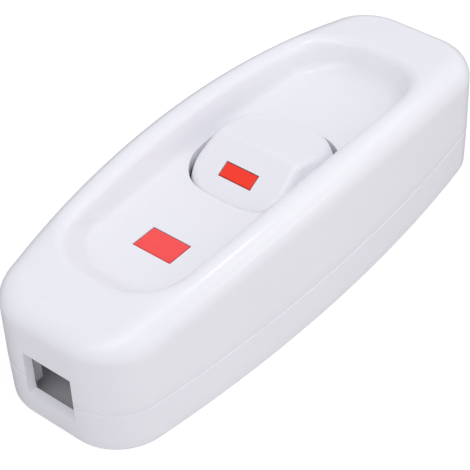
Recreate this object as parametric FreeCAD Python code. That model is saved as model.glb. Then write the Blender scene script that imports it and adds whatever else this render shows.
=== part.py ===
import FreeCAD, Part
import math
import os

# Inline rocker switch for a mains cord: a two-shell moulded body, a sprung rocker in
# a dished top, a see-saw contact, brass terminals and a cord clamp behind each mouth.
# Frame: X along the cord, Y across, Z up, origin on the table under the middle.

V = FreeCAD.Vector

# Body outline and height
BODY_LENGTH = 88.0
BODY_WIDTH = 32.1
END_WIDTH = 24.0
CORNER_RADIUS = 8.8
CROWN_HEIGHT = 23.85
CROWN_RISE = 4.95
END_HEIGHT = CROWN_HEIGHT - CROWN_RISE
TOP_EDGE_RADIUS = 3.9
PARTING_HEIGHT = 7.2
WALL = 2.0
LOWER_INSET = 0.2
LOWER_DRAFT = 1.0
SEAM_BEVEL = 0.25
BOTTOM_EDGE_RADIUS = 0.5

# Dish in the top, set in from the ends and sides of the body
DISH_DEPTH = 6.98
FLOOR_TO_END = 14.8
FLOOR_TO_SIDE = 6.1
FLOOR_BOW = 1.35
FLOOR_END_FLAT = 5.9
RIM_TO_END = 8.7
RIM_TO_SIDE = 3.6
RIM_BOW = 1.4
RIM_END_FLAT = 4.0
RIM_SHIFT = 0.9
DISH_FLOOR_HEIGHT = CROWN_HEIGHT - DISH_DEPTH
DISH_FLOOR_LENGTH = BODY_LENGTH - 2 * FLOOR_TO_END
DISH_FLOOR_WIDTH = BODY_WIDTH - 2 * FLOOR_TO_SIDE
DISH_FLOOR_CORNER = (DISH_FLOOR_WIDTH - FLOOR_END_FLAT) / 2
DISH_RIM_LENGTH = BODY_LENGTH - 2 * RIM_TO_END
DISH_RIM_WIDTH = BODY_WIDTH - 2 * RIM_TO_SIDE
DISH_RIM_CORNER = (DISH_RIM_WIDTH - RIM_END_FLAT) / 2
DISH_COVE_RADIUS = 2.0
DISH_LIP_RADIUS = 1.0
LIP_MARGIN = 0.5
OUTLINE_POINTS = 16

# Rocker, in its own frame with the pivot line as origin
ROCKER_X = 3.3
PIVOT_DEPTH = 3.81
PIVOT_HEIGHT = DISH_FLOOR_HEIGHT - PIVOT_DEPTH
ROCKER_TILT = 9.4
ROCKER_LENGTH = 19.7
ROCKER_TO_WALL = 0.65
ROCKER_WIDTH = DISH_FLOOR_WIDTH - 2 * ROCKER_TO_WALL
ROCKER_DRAW = 1.7
ROCKER_TOP_WIDTH = ROCKER_WIDTH - 2 * ROCKER_DRAW
ROCKER_SIDE_BULGE = 1.0
ROCKER_END_BULGE = 1.0
ROCKER_END_FLAT = 6.0
ROCKER_CORNER = (ROCKER_WIDTH - ROCKER_END_FLAT) / 2
ROCKER_RIDGE = 8.0
ROCKER_SLOPE = 20.1
ROCKER_RIDGE_RADIUS = 2.2
ROCKER_EDGE_RADIUS = 1.1
ROCKER_SHOULDER = 3.3
ROCKER_SKIRT = -2.2
ROCKER_WALL = 1.5
ROCKER_END_TAPER = 0.2
FACE_RISE = 0.9
SIDE_RISE = 0.6
OPENING_END_GAP = 0.6
OPENING_SIDE_GAP = 0.4
STUB_RADIUS = 1.5
PIVOT_CLEARANCE = 0.05
EAR_THICKNESS = 1.6
EAR_MARGIN = 1.3
SIDE_CLEARANCE = 0.6
STUB_RECESS = 0.2

# Red inlays
MARK_DEPTH = 0.5
MARK_TO_FLOOR_END = 9.5
DISH_MARK_X = MARK_TO_FLOOR_END - DISH_FLOOR_LENGTH / 2
DISH_MARK_LENGTH = 4.7
DISH_MARK_WIDTH = 7.1
ROCKER_MARK_FROM_RIDGE = 3.95
ROCKER_MARK_LENGTH = 2.6
ROCKER_MARK_WIDTH = 6.1

# Plunger and its spring, in the rocker's post
POST_RADIUS = 3.3
POST_BORE_RADIUS = 2.05
POST_BORE_TOP = 5.2
PLUNGER_CLEARANCE = 0.05
PLUNGER_TOP = 0.6
PLUNGER_TIP_RADIUS = 1.2
PLUNGER_TIP_LENGTH = 1.77
PLUNGER_NIPPLE_RADIUS = 0.85
PLUNGER_NIPPLE_HEIGHT = 1.4
PLUNGER_TIP_GAP = 0.25
SPRING_WIRE_RADIUS = 0.22
SPRING_MEAN_RADIUS = 1.45
SPRING_TURNS = 4.5
SPRING_SEAT_GAP = 0.05

# See-saw contact
BRIDGE_TILT = 8.0
BRIDGE_THICKNESS = 0.7
BRIDGE_WIDTH = 4.6
BRIDGE_FAR_ARM = 10.4
BRIDGE_NEAR_ARM = 8.0
BRIDGE_CORNER = 1.15
FLANGE_THICKNESS = 0.6
FLANGE_HEIGHT = 1.5
FLANGE_LENGTH = 7.6
FLANGE_CORNER = 1.2
TRUNNION_RADIUS = 0.6
TRUNNION_CLEARANCE = 0.04
CONTACT_REACH = 9.0
CONTACT_RADIUS = 1.3
CONTACT_HEAD = 0.6
CONTACT_SHANK_RADIUS = 0.7
CONTACT_GAP = 0.1
STOP_REACH = 7.0
STOP_THICKNESS = 1.0
STOP_WIDTH = 2.6
STOP_GAP = 0.15

# Brass strips and terminal blocks
STRIP_THICKNESS = 0.8
STRIP_WIDTH = 5.4
CHEEK_THICKNESS = 0.7
CHEEK_GAP = 0.2
CHEEK_LENGTH = 4.4
BLOCK_LENGTH = 7.0
BLOCK_WIDTH = 6.4
BLOCK_HEIGHT = 5.6
BLOCK_CHAMFER = 0.4
WIRE_HOLE_RADIUS = 1.6
WIRE_HOLE_HEIGHT = 2.35
NEAR_BLOCK_X = -14.0
FAR_BLOCK_X = 17.8
NEUTRAL_X = 0.0
NEUTRAL_TO_SIDE = 6.15
NEUTRAL_Y = BODY_WIDTH / 2 - NEUTRAL_TO_SIDE
NEUTRAL_LENGTH = 17.0
NEUTRAL_WIDTH = 5.0
NEUTRAL_SCREW_SPACING = 10.0
RIB_THICKNESS = 1.0
RIB_HEIGHT = 2.2
SEAT_GAP = 0.1

# Screws
TERMINAL_SCREW_RADIUS = 1.25
TERMINAL_HEAD_RADIUS = 2.1
TERMINAL_HEAD_HEIGHT = 1.4
CLAMP_SCREW_RADIUS = 1.3
CLAMP_HEAD_RADIUS = 2.2
CLAMP_HEAD_HEIGHT = 1.5
HOUSING_SCREW_RADIUS = 1.3
HOUSING_HEAD_RADIUS = 2.5
HOUSING_HEAD_HEIGHT = 1.8
HOUSING_HEAD_DEPTH = 2.6
HOUSING_SCREW_GRIP = 6.0
SCREW_TO_END = 18.5
SCREW_TO_SIDE = 8.45
HOUSING_SCREW_X = BODY_LENGTH / 2 - SCREW_TO_END
HOUSING_SCREW_Y = BODY_WIDTH / 2 - SCREW_TO_SIDE
HOUSING_BOSS_RADIUS = 2.8
LOWER_BOSS_RADIUS = 4.0
SCREW_CLEARANCE = 0.05
SHANK_CLEARANCE = 0.3
SLOT_WIDTH = 0.7
SLOT_DEPTH = 0.7
HEAD_ROUNDING = 0.3

# Cord mouths and clamps
MOUTH_WIDTH = 9.0
MOUTH_BELOW_SEAM = 3.1
MOUTH_ABOVE_SEAM = 4.8
MOUTH_BOTTOM = PARTING_HEIGHT - MOUTH_BELOW_SEAM
MOUTH_TOP = PARTING_HEIGHT + MOUTH_ABOVE_SEAM
MOUTH_LIP = 1.2
MOUTH_FLARE = 0.4
MOUTH_RELIEF = 1.0
MOUTH_RELIEF_DEPTH = 4.0
CLAMP_TO_END = 13.0
CLAMP_X = BODY_LENGTH / 2 - CLAMP_TO_END
CLAMP_WIDTH = 5.0
CLAMP_END_WIDTH = 4.4
CLAMP_CORNER = 2.2
CLAMP_THICKNESS = 2.4
CLAMP_TO_SIDE = 2.5
CLAMP_LENGTH = END_WIDTH - 2 * CLAMP_TO_SIDE
CLAMP_ARCH = 0.9
CLAMP_HOLE_TO_END = 2.6
CLAMP_SCREW_Y = CLAMP_LENGTH / 2 - CLAMP_HOLE_TO_END
CLAMP_BOSS_RADIUS = 2.5
CLAMP_PILOT_BOTTOM = 1.4
SADDLE_THICKNESS = 1.2
SADDLE_SPACING = 3.0
SADDLE_SINK = 0.5
TONGUE_THICKNESS = 0.9
TONGUE_HEIGHT = 1.2
TONGUE_ROOT = 3.0
TONGUE_CLEARANCE = 0.12
CLAMP_BOSS_HEIGHT = PARTING_HEIGHT + TONGUE_HEIGHT + SEAT_GAP

# Heights closer than this count as level
LEVEL_TOLERANCE = 0.01


def unit(vector):
    return vector * (1.0 / vector.Length)


def bulge_radius(half_chord, sagitta):
    """Radius of the arc that rises by sagitta over half a chord."""
    return (half_chord ** 2 + sagitta ** 2) / (2.0 * sagitta)


def barrel_wire(length, width, end_width, end_bulge, corner, z, inset=0.0):
    """Closed plan outline: two bowed sides, two ends and four tangent corner arcs.

    Every arc keeps its centre when the outline is inset, so walls stay even.
    """
    half_length = length / 2.0
    half_width = width / 2.0
    side_radius = bulge_radius(half_length, half_width - end_width / 2.0)
    side_centre = V(0, half_width - side_radius, 0)
    side_reach = side_radius - corner
    if end_bulge > 0:
        end_radius = bulge_radius(end_width / 2.0, end_bulge)
        end_centre = V(half_length - end_radius, 0, 0)
        span = end_centre - side_centre
        along = (side_reach ** 2 - (end_radius - corner) ** 2 + span.Length ** 2)
        along = along / (2.0 * span.Length)
        off_line = math.sqrt(side_reach ** 2 - along ** 2)
        direction = unit(span)
        corner_centre = side_centre + direction * along + V(direction.y, -direction.x, 0) * off_line
        end_touch = end_centre + unit(corner_centre - end_centre) * (end_radius - inset)
    else:
        corner_x = half_length - corner
        rise = math.sqrt(side_reach ** 2 - corner_x ** 2)
        corner_centre = V(corner_x, side_centre.y + rise, 0)
        end_touch = V(half_length - inset, corner_centre.y, 0)
    side_touch = side_centre + unit(corner_centre - side_centre) * (side_radius - inset)
    halfway = unit(unit(side_touch - corner_centre) + unit(end_touch - corner_centre))
    corner_middle = corner_centre + halfway * (corner - inset)

    def at(point, sign_x, sign_y):
        return V(point.x * sign_x, point.y * sign_y, z)

    def corner_arc(start, end, sign_x, sign_y):
        middle = at(corner_middle, sign_x, sign_y)
        return Part.Arc(at(start, sign_x, sign_y), middle, at(end, sign_x, sign_y)).toShape()

    def end_edge(sign_x):
        start = at(end_touch, sign_x, sign_x)
        end = at(end_touch, sign_x, -sign_x)
        if end_bulge > 0:
            return Part.Arc(start, V((half_length - inset) * sign_x, 0, z), end).toShape()
        return Part.LineSegment(start, end).toShape()

    def side_arc(sign_y):
        start = at(side_touch, -sign_y, sign_y)
        end = at(side_touch, sign_y, sign_y)
        return Part.Arc(start, V(0, (half_width - inset) * sign_y, z), end).toShape()

    edges = [
        side_arc(1),
        corner_arc(side_touch, end_touch, 1, 1),
        end_edge(1),
        corner_arc(end_touch, side_touch, 1, -1),
        side_arc(-1),
        corner_arc(side_touch, end_touch, -1, -1),
        end_edge(-1),
        corner_arc(end_touch, side_touch, -1, 1),
    ]
    return Part.Wire(edges)


def body_wire(z, inset=0.0):
    return barrel_wire(BODY_LENGTH, BODY_WIDTH, END_WIDTH, 0.0, CORNER_RADIUS, z, inset)


def one_curve(wire):
    """The same outline as one smooth curve that starts and ends halfway along an end."""
    points = []
    for edge in wire.OrderedEdges:
        points += edge.discretize(OUTLINE_POINTS + 1)[:-1]
    start = 2 * OUTLINE_POINTS + OUTLINE_POINTS // 2
    curve = Part.BSplineCurve()
    curve.interpolate(Points=points[start:] + points[:start], PeriodicFlag=True)
    return Part.Wire(curve.toShape())


def prism(wire, height):
    return Part.Face(wire).extrude(V(0, 0, height))


def ring(outer, inner, height):
    return prism(outer, height).cut(prism(inner, height))


def box(x_low, x_high, y_low, y_high, z_low, z_high):
    size = V(x_high - x_low, y_high - y_low, z_high - z_low)
    return Part.makeBox(size.x, size.y, size.z, V(x_low, y_low, z_low))


def centred_box(x, y, length, width, z_low, z_high):
    return box(x - length / 2, x + length / 2, y - width / 2, y + width / 2, z_low, z_high)


def upright(radius, x, y, z_low, z_high):
    return Part.makeCylinder(radius, z_high - z_low, V(x, y, z_low), V(0, 0, 1))


def across(radius, x, z, y_low, y_high):
    return Part.makeCylinder(radius, y_high - y_low, V(x, y_low, z), V(0, 1, 0))


def lengthways(radius, y, z, x_low, x_high):
    return Part.makeCylinder(radius, x_high - x_low, V(x_low, y, z), V(1, 0, 0))


def fuse(shapes):
    return shapes[0].fuse(shapes[1:]).removeSplitter()


def turned(shape, angle, x, z):
    """Shape built about a pivot at the origin, tilted about Y and set at x, z."""
    placed = shape.copy()
    placed.rotate(V(0, 0, 0), V(0, 1, 0), angle)
    placed.translate(V(x, 0, z))
    return placed


# Housing

def crown_solid(drop=0.0):
    """Everything under the arched top line, lowered by drop."""
    half_length = BODY_LENGTH / 2.0
    radius = bulge_radius(half_length, CROWN_HEIGHT - END_HEIGHT)
    centre_height = CROWN_HEIGHT - radius
    reach = half_length + WALL
    edge_height = centre_height + math.sqrt((radius - drop) ** 2 - reach ** 2)
    left = V(-reach, -BODY_WIDTH, edge_height)
    right = V(reach, -BODY_WIDTH, edge_height)
    arch = Part.Arc(left, V(0, -BODY_WIDTH, CROWN_HEIGHT - drop), right).toShape()
    left_foot = V(-reach, -BODY_WIDTH, 0)
    right_foot = V(reach, -BODY_WIDTH, 0)
    sides = [(right, right_foot), (right_foot, left_foot), (left_foot, left)]
    edges = [arch] + [Part.LineSegment(start, end).toShape() for start, end in sides]
    return Part.Face(Part.Wire(edges)).extrude(V(0, 2 * BODY_WIDTH, 0))


def crowned_block(inset, drop, edge_radius):
    """Body outline stood up to the arched top, with its upper edge rounded."""
    block = prism(body_wire(PARTING_HEIGHT, inset), CROWN_HEIGHT).common(crown_solid(drop))
    rim = [edge for edge in block.Edges if edge.BoundBox.ZMin > END_HEIGHT - drop - WALL]
    return block.makeFillet(edge_radius, rim)


def dish_solid(grow):
    """The hollow of the dish, grown outwards by the thickness of its wall."""
    floor = barrel_wire(DISH_FLOOR_LENGTH, DISH_FLOOR_WIDTH, DISH_FLOOR_WIDTH - 2 * FLOOR_BOW, 0.0,
                        DISH_FLOOR_CORNER, DISH_FLOOR_HEIGHT - grow, -grow)
    rim = barrel_wire(DISH_RIM_LENGTH, DISH_RIM_WIDTH, DISH_RIM_WIDTH - 2 * RIM_BOW, 0.0,
                      DISH_RIM_CORNER, CROWN_HEIGHT + WALL, -grow)
    rim.translate(V(-RIM_SHIFT, 0, 0))
    hollow = Part.makeLoft([one_curve(floor), one_curve(rim)], True, True)
    foot = DISH_FLOOR_HEIGHT - grow + LEVEL_TOLERANCE
    edges = [edge for edge in hollow.Edges if edge.BoundBox.ZMax < foot]
    return hollow.makeFillet(DISH_COVE_RADIUS + grow, edges)


def opening_wire(z):
    length = ROCKER_LENGTH + 2 * OPENING_END_GAP
    width = ROCKER_WIDTH + 2 * OPENING_SIDE_GAP
    wire = barrel_wire(length, width, width - 2 * ROCKER_SIDE_BULGE, ROCKER_END_BULGE,
                       ROCKER_CORNER + OPENING_SIDE_GAP, z)
    wire.translate(V(ROCKER_X, 0, 0))
    return wire


def mouth_wire(x, narrowing):
    """Mouth's rectangle at x, drawn in on every side by narrowing."""
    y = MOUTH_WIDTH / 2 - narrowing
    low = MOUTH_BOTTOM + narrowing
    high = MOUTH_TOP - narrowing
    return Part.makePolygon([V(x, -y, low), V(x, y, low), V(x, y, high), V(x, -y, high), V(x, -y, low)])


def mouth_cutter(side):
    """Flared mouth through the end wall, opening into a wider relief behind its lip."""
    face = side * BODY_LENGTH / 2
    throat = side * (BODY_LENGTH / 2 - MOUTH_LIP)
    outer = Part.Face(mouth_wire(face, 0.0)).extrude(V(side * WALL, 0, 0))
    flare = Part.makeLoft([mouth_wire(face, 0.0), mouth_wire(throat, MOUTH_FLARE)], True, True)
    start, end = sorted([throat, throat - side * MOUTH_RELIEF_DEPTH])
    half_width = MOUTH_WIDTH / 2 - MOUTH_FLARE + MOUTH_RELIEF
    top = MOUTH_TOP - MOUTH_FLARE + MOUTH_RELIEF
    relief = box(start, end, -half_width, half_width, WALL, top)
    return outer.fuse([flare, relief])


def screw_places():
    """Housing screws stand on a diagonal, one near each end."""
    return [(-HOUSING_SCREW_X, -HOUSING_SCREW_Y), (HOUSING_SCREW_X, HOUSING_SCREW_Y)]


def ear_plate(side):
    """Ear under the dish that carries one stub of the rocker."""
    inner = ROCKER_WIDTH / 2 + SIDE_CLEARANCE
    low, high = sorted([side * inner, side * (inner + EAR_THICKNESS)])
    reach = STUB_RADIUS + PIVOT_CLEARANCE + EAR_MARGIN
    plate = box(ROCKER_X - reach, ROCKER_X + reach, low, high, PIVOT_HEIGHT, DISH_FLOOR_HEIGHT)
    plate = plate.fuse(across(reach, ROCKER_X, PIVOT_HEIGHT, low, high))
    return plate.cut(across(STUB_RADIUS + PIVOT_CLEARANCE, ROCKER_X, PIVOT_HEIGHT, low, high))


def dish_mark_box():
    bottom = DISH_FLOOR_HEIGHT - MARK_DEPTH
    return centred_box(DISH_MARK_X, 0, DISH_MARK_LENGTH, DISH_MARK_WIDTH,
                       bottom, DISH_FLOOR_HEIGHT)


def make_upper_housing():
    dish = dish_solid(0.0)
    outer = crowned_block(0.0, 0.0, TOP_EDGE_RADIUS).cut(dish)
    lip = [edge for edge in outer.Edges if is_dish_lip(edge, dish)]
    outer = outer.makeFillet(DISH_LIP_RADIUS, lip)
    hollow = crowned_block(WALL, WALL, TOP_EDGE_RADIUS - WALL).cut(dish_solid(WALL))
    shell = outer.cut(hollow)
    opening = prism(opening_wire(DISH_FLOOR_HEIGHT - 2 * WALL), 4 * WALL)
    shell = shell.cut([opening, mouth_cutter(-1), mouth_cutter(1)])
    bosses = []
    for x, y in screw_places():
        top = DISH_FLOOR_HEIGHT - WALL / 4
        boss = upright(HOUSING_BOSS_RADIUS, x, y, PARTING_HEIGHT, top)
        pilot_top = PARTING_HEIGHT + HOUSING_SCREW_GRIP + WALL / 2
        pilot = upright(HOUSING_SCREW_RADIUS + SCREW_CLEARANCE, x, y, PARTING_HEIGHT, pilot_top)
        bosses.append(boss.cut(pilot))
    shell = fuse([shell, ear_plate(-1), ear_plate(1)] + bosses)
    return shell.cut(dish_mark_box())


def is_dish_lip(edge, hollow):
    """Edges that lie on the dish's wall, above its cove: those where it meets the arched top."""
    if edge.BoundBox.ZMin < DISH_FLOOR_HEIGHT + DISH_COVE_RADIUS + LIP_MARGIN:
        return False
    middle = edge.valueAt((edge.FirstParameter + edge.LastParameter) / 2)
    return hollow.Shells[0].distToShape(Part.Vertex(middle))[0] < LEVEL_TOLERANCE


def lower_wire(z):
    depth = PARTING_HEIGHT - z
    return body_wire(z, LOWER_INSET + depth * math.tan(math.radians(LOWER_DRAFT)))


def clamp_places():
    places = []
    for side in (-1, 1):
        for row in (-1, 1):
            places.append((side * CLAMP_X, row * CLAMP_SCREW_Y))
    return places


def saddle_rib(x):
    """Cross rib under the clamp, hollowed to the round of the cord."""
    top = MOUTH_BOTTOM + WALL / 2
    half = CLAMP_SCREW_Y
    rib = centred_box(x, 0, SADDLE_THICKNESS, 2 * half, WALL / 2, top)
    cord_radius = MOUTH_WIDTH / 2
    groove = lengthways(cord_radius, 0, MOUTH_BOTTOM + cord_radius - SADDLE_SINK, x - WALL, x + WALL)
    return rib.cut(groove)


def block_ribs(x, y, length, width):
    """Two pairs of ribs that stand against the sides and ends of a terminal block."""
    top = WALL + STRIP_THICKNESS + RIB_HEIGHT
    ribs = []
    for side in (-1, 1):
        rib_y = y + side * (width / 2 + SEAT_GAP + RIB_THICKNESS / 2)
        ribs.append(centred_box(x, rib_y, length - 2 * RIB_THICKNESS, RIB_THICKNESS, WALL / 2, top))
    return ribs


def neutral_stop(side):
    """Rib across one end of the neutral block, below its wire hole."""
    x = NEUTRAL_X + side * (NEUTRAL_LENGTH / 2 + SEAT_GAP + RIB_THICKNESS / 2)
    top = WALL + RIB_HEIGHT / 2
    return centred_box(x, NEUTRAL_Y, RIB_THICKNESS, NEUTRAL_WIDTH, WALL / 2, top)


def bridge_stop(grow):
    """Post through the fulcrum strip that halts the see-saw's near arm when it is off."""
    angle = math.radians(BRIDGE_TILT)
    x = ROCKER_X - STOP_REACH * math.cos(angle)
    arm = fulcrum_height() - STOP_REACH * math.sin(angle)
    underside = arm - (BRIDGE_THICKNESS / math.cos(angle) + STOP_THICKNESS * math.tan(angle)) / 2
    return centred_box(x, 0, STOP_THICKNESS + 2 * grow, STOP_WIDTH + 2 * grow, WALL / 2,
                       underside - STOP_GAP)


def make_lower_housing():
    bevel_start = PARTING_HEIGHT - SEAM_BEVEL
    body = Part.makeLoft([lower_wire(0.0), lower_wire(bevel_start),
                          body_wire(PARTING_HEIGHT, LOWER_INSET + SEAM_BEVEL)], True, True)
    foot = [edge for edge in body.Edges if edge.BoundBox.ZMax < LEVEL_TOLERANCE]
    body = body.makeFillet(BOTTOM_EDGE_RADIUS, foot)
    inset = LOWER_INSET + SEAM_BEVEL + WALL
    shell = body.cut(prism(body_wire(WALL, inset), PARTING_HEIGHT))
    tongue_inset = WALL + TONGUE_CLEARANCE
    tongue_low = PARTING_HEIGHT - TONGUE_ROOT
    tongue = ring(body_wire(tongue_low, tongue_inset),
                  body_wire(tongue_low, tongue_inset + TONGUE_THICKNESS + LOWER_INSET + SEAM_BEVEL),
                  TONGUE_ROOT + TONGUE_HEIGHT)
    additions = [tongue, bridge_stop(0.0)]
    for x, y in screw_places():
        additions.append(upright(LOWER_BOSS_RADIUS, x, y, WALL / 2, PARTING_HEIGHT))
    for x, y in clamp_places():
        additions.append(upright(CLAMP_BOSS_RADIUS, x, y, WALL / 2, CLAMP_BOSS_HEIGHT))
    for side in (-1, 1):
        additions.append(saddle_rib(side * (CLAMP_X - SADDLE_SPACING / 2)))
        additions.append(saddle_rib(side * (CLAMP_X + SADDLE_SPACING / 2)))
    for x in (NEAR_BLOCK_X, FAR_BLOCK_X):
        additions += block_ribs(x, 0, BLOCK_LENGTH, BLOCK_WIDTH)
    additions += block_ribs(NEUTRAL_X, NEUTRAL_Y, NEUTRAL_LENGTH, NEUTRAL_WIDTH)
    additions += [neutral_stop(-1), neutral_stop(1)]
    shell = fuse([shell] + additions)
    cutters = [mouth_cutter(-1), mouth_cutter(1)]
    for x, y in screw_places():
        shank = HOUSING_SCREW_RADIUS + SHANK_CLEARANCE
        cutters.append(upright(shank, x, y, -WALL, PARTING_HEIGHT + WALL))
        head = HOUSING_HEAD_RADIUS + SHANK_CLEARANCE
        cutters.append(upright(head, x, y, -WALL, HOUSING_HEAD_DEPTH))
    for x, y in clamp_places():
        pilot = CLAMP_SCREW_RADIUS + SCREW_CLEARANCE
        cutters.append(upright(pilot, x, y, CLAMP_PILOT_BOTTOM, CLAMP_BOSS_HEIGHT + WALL))
    return shell.cut(cutters)


# Rocker

def rocker_outline(z, width, inset):
    length = ROCKER_LENGTH - (ROCKER_WIDTH - width) * ROCKER_END_TAPER
    return barrel_wire(length, width, width - 2 * ROCKER_SIDE_BULGE, ROCKER_END_BULGE,
                       ROCKER_CORNER, z, inset)


def roof_solid(drop):
    """Everything under the two slopes of the rocker's face, lowered by drop."""
    slope = math.radians(ROCKER_SLOPE)
    reach = ROCKER_LENGTH
    ridge = V(0, -ROCKER_WIDTH, ROCKER_RIDGE - drop)
    eave = ROCKER_RIDGE - drop - reach * math.tan(slope)
    low = ROCKER_SKIRT - ROCKER_WIDTH
    points = [ridge, V(reach, -ROCKER_WIDTH, eave), V(reach, -ROCKER_WIDTH, low),
              V(-reach, -ROCKER_WIDTH, low), V(-reach, -ROCKER_WIDTH, eave), ridge]
    roof = Part.Face(Part.makePolygon(points)).extrude(V(0, 2 * ROCKER_WIDTH, 0))
    top = [edge for edge in roof.Edges if edge.BoundBox.ZMin > ROCKER_RIDGE - drop - LEVEL_TOLERANCE]
    return roof.makeFillet(ROCKER_RIDGE_RADIUS, top)


def rocker_block(inset, drop):
    """Skirt with upright sides, drawn in towards the ridge above the shoulder."""
    skirt = rocker_outline(ROCKER_SKIRT, ROCKER_WIDTH, inset)
    shoulder = rocker_outline(ROCKER_SHOULDER, ROCKER_WIDTH, inset)
    top = rocker_outline(ROCKER_RIDGE, ROCKER_TOP_WIDTH, inset)
    block = Part.makeLoft([skirt, shoulder, top], True, True)
    return block.common(roof_solid(drop))


def rocker_mark_box():
    slope = ROCKER_SLOPE
    start = -ROCKER_MARK_FROM_RIDGE - ROCKER_MARK_LENGTH
    mark = box(start, -ROCKER_MARK_FROM_RIDGE, -ROCKER_MARK_WIDTH / 2, ROCKER_MARK_WIDTH / 2,
               -MARK_DEPTH, 0)
    return turned(mark, -slope, 0, ROCKER_RIDGE)


def is_face_rim(block, edge):
    """Edges where a slope of the rocker's face meets an upright wall."""
    middle = edge.valueAt((edge.FirstParameter + edge.LastParameter) / 2)
    rises = []
    for face in block.ancestorsOfType(edge, Part.Face):
        u, v = face.Surface.parameter(middle)
        rises.append(face.normalAt(u, v).z)
    return max(rises) > FACE_RISE and min(rises) < SIDE_RISE


def make_rocker():
    block = rocker_block(0.0, 0.0)
    rim = [edge for edge in block.Edges if is_face_rim(block, edge)]
    shell = block.makeFillet(ROCKER_EDGE_RADIUS, rim)
    shell = shell.cut(rocker_block(ROCKER_WALL, ROCKER_WALL))
    post = upright(POST_RADIUS, 0, 0, ROCKER_SKIRT, ROCKER_RIDGE).common(roof_solid(ROCKER_WALL / 2))
    stub_end = ROCKER_WIDTH / 2 + SIDE_CLEARANCE + EAR_THICKNESS - STUB_RECESS
    stub_start = ROCKER_WIDTH / 2 - ROCKER_WALL
    pieces = [shell, post]
    for side in (-1, 1):
        low, high = sorted([side * stub_start, side * stub_end])
        pieces.append(across(STUB_RADIUS, 0, 0, low, high))
        low, high = sorted([side * POST_BORE_RADIUS, side * (stub_start + ROCKER_WALL / 2)])
        web = box(-ROCKER_WALL / 2, ROCKER_WALL / 2, low, high, ROCKER_SKIRT + ROCKER_WALL,
                  ROCKER_RIDGE)
        pieces.append(web.common(rocker_block(ROCKER_WALL / 2, ROCKER_WALL / 2)))
    rocker = fuse(pieces)
    bore = upright(POST_BORE_RADIUS, 0, 0, ROCKER_SKIRT, POST_BORE_TOP)
    return rocker.cut([bore, rocker_mark_box()])


# Plunger and spring

def tip_centre():
    """Distance from the rocker's pivot to the middle of the plunger's round tip.

    The tip stands PLUNGER_TIP_GAP off the tilted see-saw when the rocker is at either limit.
    """
    rocker_angle = math.radians(ROCKER_TILT)
    bridge_angle = math.radians(BRIDGE_TILT)
    drop = PIVOT_HEIGHT - fulcrum_height()
    wanted = BRIDGE_THICKNESS / 2 + PLUNGER_TIP_RADIUS + PLUNGER_TIP_GAP
    slope = math.cos(rocker_angle + bridge_angle)
    return (drop * math.cos(bridge_angle) - wanted) / slope


def make_plunger():
    radius = POST_BORE_RADIUS - PLUNGER_CLEARANCE
    low = -tip_centre()
    shoulder = low + PLUNGER_TIP_LENGTH
    stem = upright(radius, 0, 0, shoulder, PLUNGER_TOP)
    tip = upright(PLUNGER_TIP_RADIUS, 0, 0, low, shoulder)
    ball = Part.makeSphere(PLUNGER_TIP_RADIUS, V(0, 0, low))
    nipple = upright(PLUNGER_NIPPLE_RADIUS, 0, 0, PLUNGER_TOP, PLUNGER_TOP + PLUNGER_NIPPLE_HEIGHT)
    return fuse([stem, tip, ball, nipple])


def make_plunger_spring():
    low = PLUNGER_TOP + SPRING_WIRE_RADIUS + SPRING_SEAT_GAP
    high = POST_BORE_TOP - SPRING_WIRE_RADIUS - SPRING_SEAT_GAP
    pitch = (high - low) / SPRING_TURNS
    helix = Part.makeHelix(pitch, high - low, SPRING_MEAN_RADIUS)
    section = Part.Wire(Part.makeCircle(SPRING_WIRE_RADIUS, V(SPRING_MEAN_RADIUS, 0, 0), V(0, 1, 0)))
    coil = Part.Wire(helix.Edges).makePipeShell([section], True, True)
    coil.translate(V(0, 0, low))
    return coil


# See-saw contact

def fulcrum_height():
    """Height of the see-saw's pivot that lets its contact just reach the fixed one."""
    angle = math.radians(BRIDGE_TILT)
    stack = BRIDGE_THICKNESS / 2 + CONTACT_HEAD
    fixed_top = WALL + STRIP_THICKNESS + CONTACT_HEAD
    reach = CONTACT_REACH + CONTACT_RADIUS
    return fixed_top + CONTACT_GAP + reach * math.sin(angle) + stack * math.cos(angle)


def make_contact_bridge():
    half = BRIDGE_THICKNESS / 2
    strip = box(-BRIDGE_NEAR_ARM, BRIDGE_FAR_ARM, -BRIDGE_WIDTH / 2, BRIDGE_WIDTH / 2, -half, half)
    ends = [edge for edge in strip.Edges
            if edge.BoundBox.ZLength > half and edge.BoundBox.DiagonalLength < BRIDGE_WIDTH / 2]
    strip = strip.makeFillet(BRIDGE_CORNER, ends)
    pieces = [strip]
    for side in (-1, 1):
        outside = side * BRIDGE_WIDTH / 2
        inside = side * (BRIDGE_WIDTH / 2 - FLANGE_THICKNESS)
        low, high = sorted([outside, inside])
        flange = box(-FLANGE_LENGTH / 2, FLANGE_LENGTH / 2, low, high, -half, half + FLANGE_HEIGHT)
        top = [edge for edge in flange.Edges
               if edge.BoundBox.YLength > FLANGE_THICKNESS / 2 and edge.BoundBox.ZMin > half]
        pieces.append(flange.makeFillet(FLANGE_CORNER, top))
        end = side * (BRIDGE_WIDTH / 2 + CHEEK_GAP + CHEEK_THICKNESS)
        low, high = sorted([inside, end])
        pieces.append(across(TRUNNION_RADIUS, 0, 0, low, high))
    bridge = fuse(pieces)
    return bridge.cut(upright(CONTACT_SHANK_RADIUS, CONTACT_REACH, 0, -half, half))


def rivet(head_low, head_high, shank_low, shank_high):
    head = upright(CONTACT_RADIUS, 0, 0, head_low, head_high)
    shank = upright(CONTACT_SHANK_RADIUS, 0, 0, shank_low, shank_high)
    return head.fuse(shank).removeSplitter()


def make_moving_contact():
    half = BRIDGE_THICKNESS / 2
    button = rivet(-half - CONTACT_HEAD, -half, -half, half)
    button.translate(V(CONTACT_REACH, 0, 0))
    return button


def fixed_contact_x():
    return ROCKER_X + CONTACT_REACH * math.cos(math.radians(BRIDGE_TILT))


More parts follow.
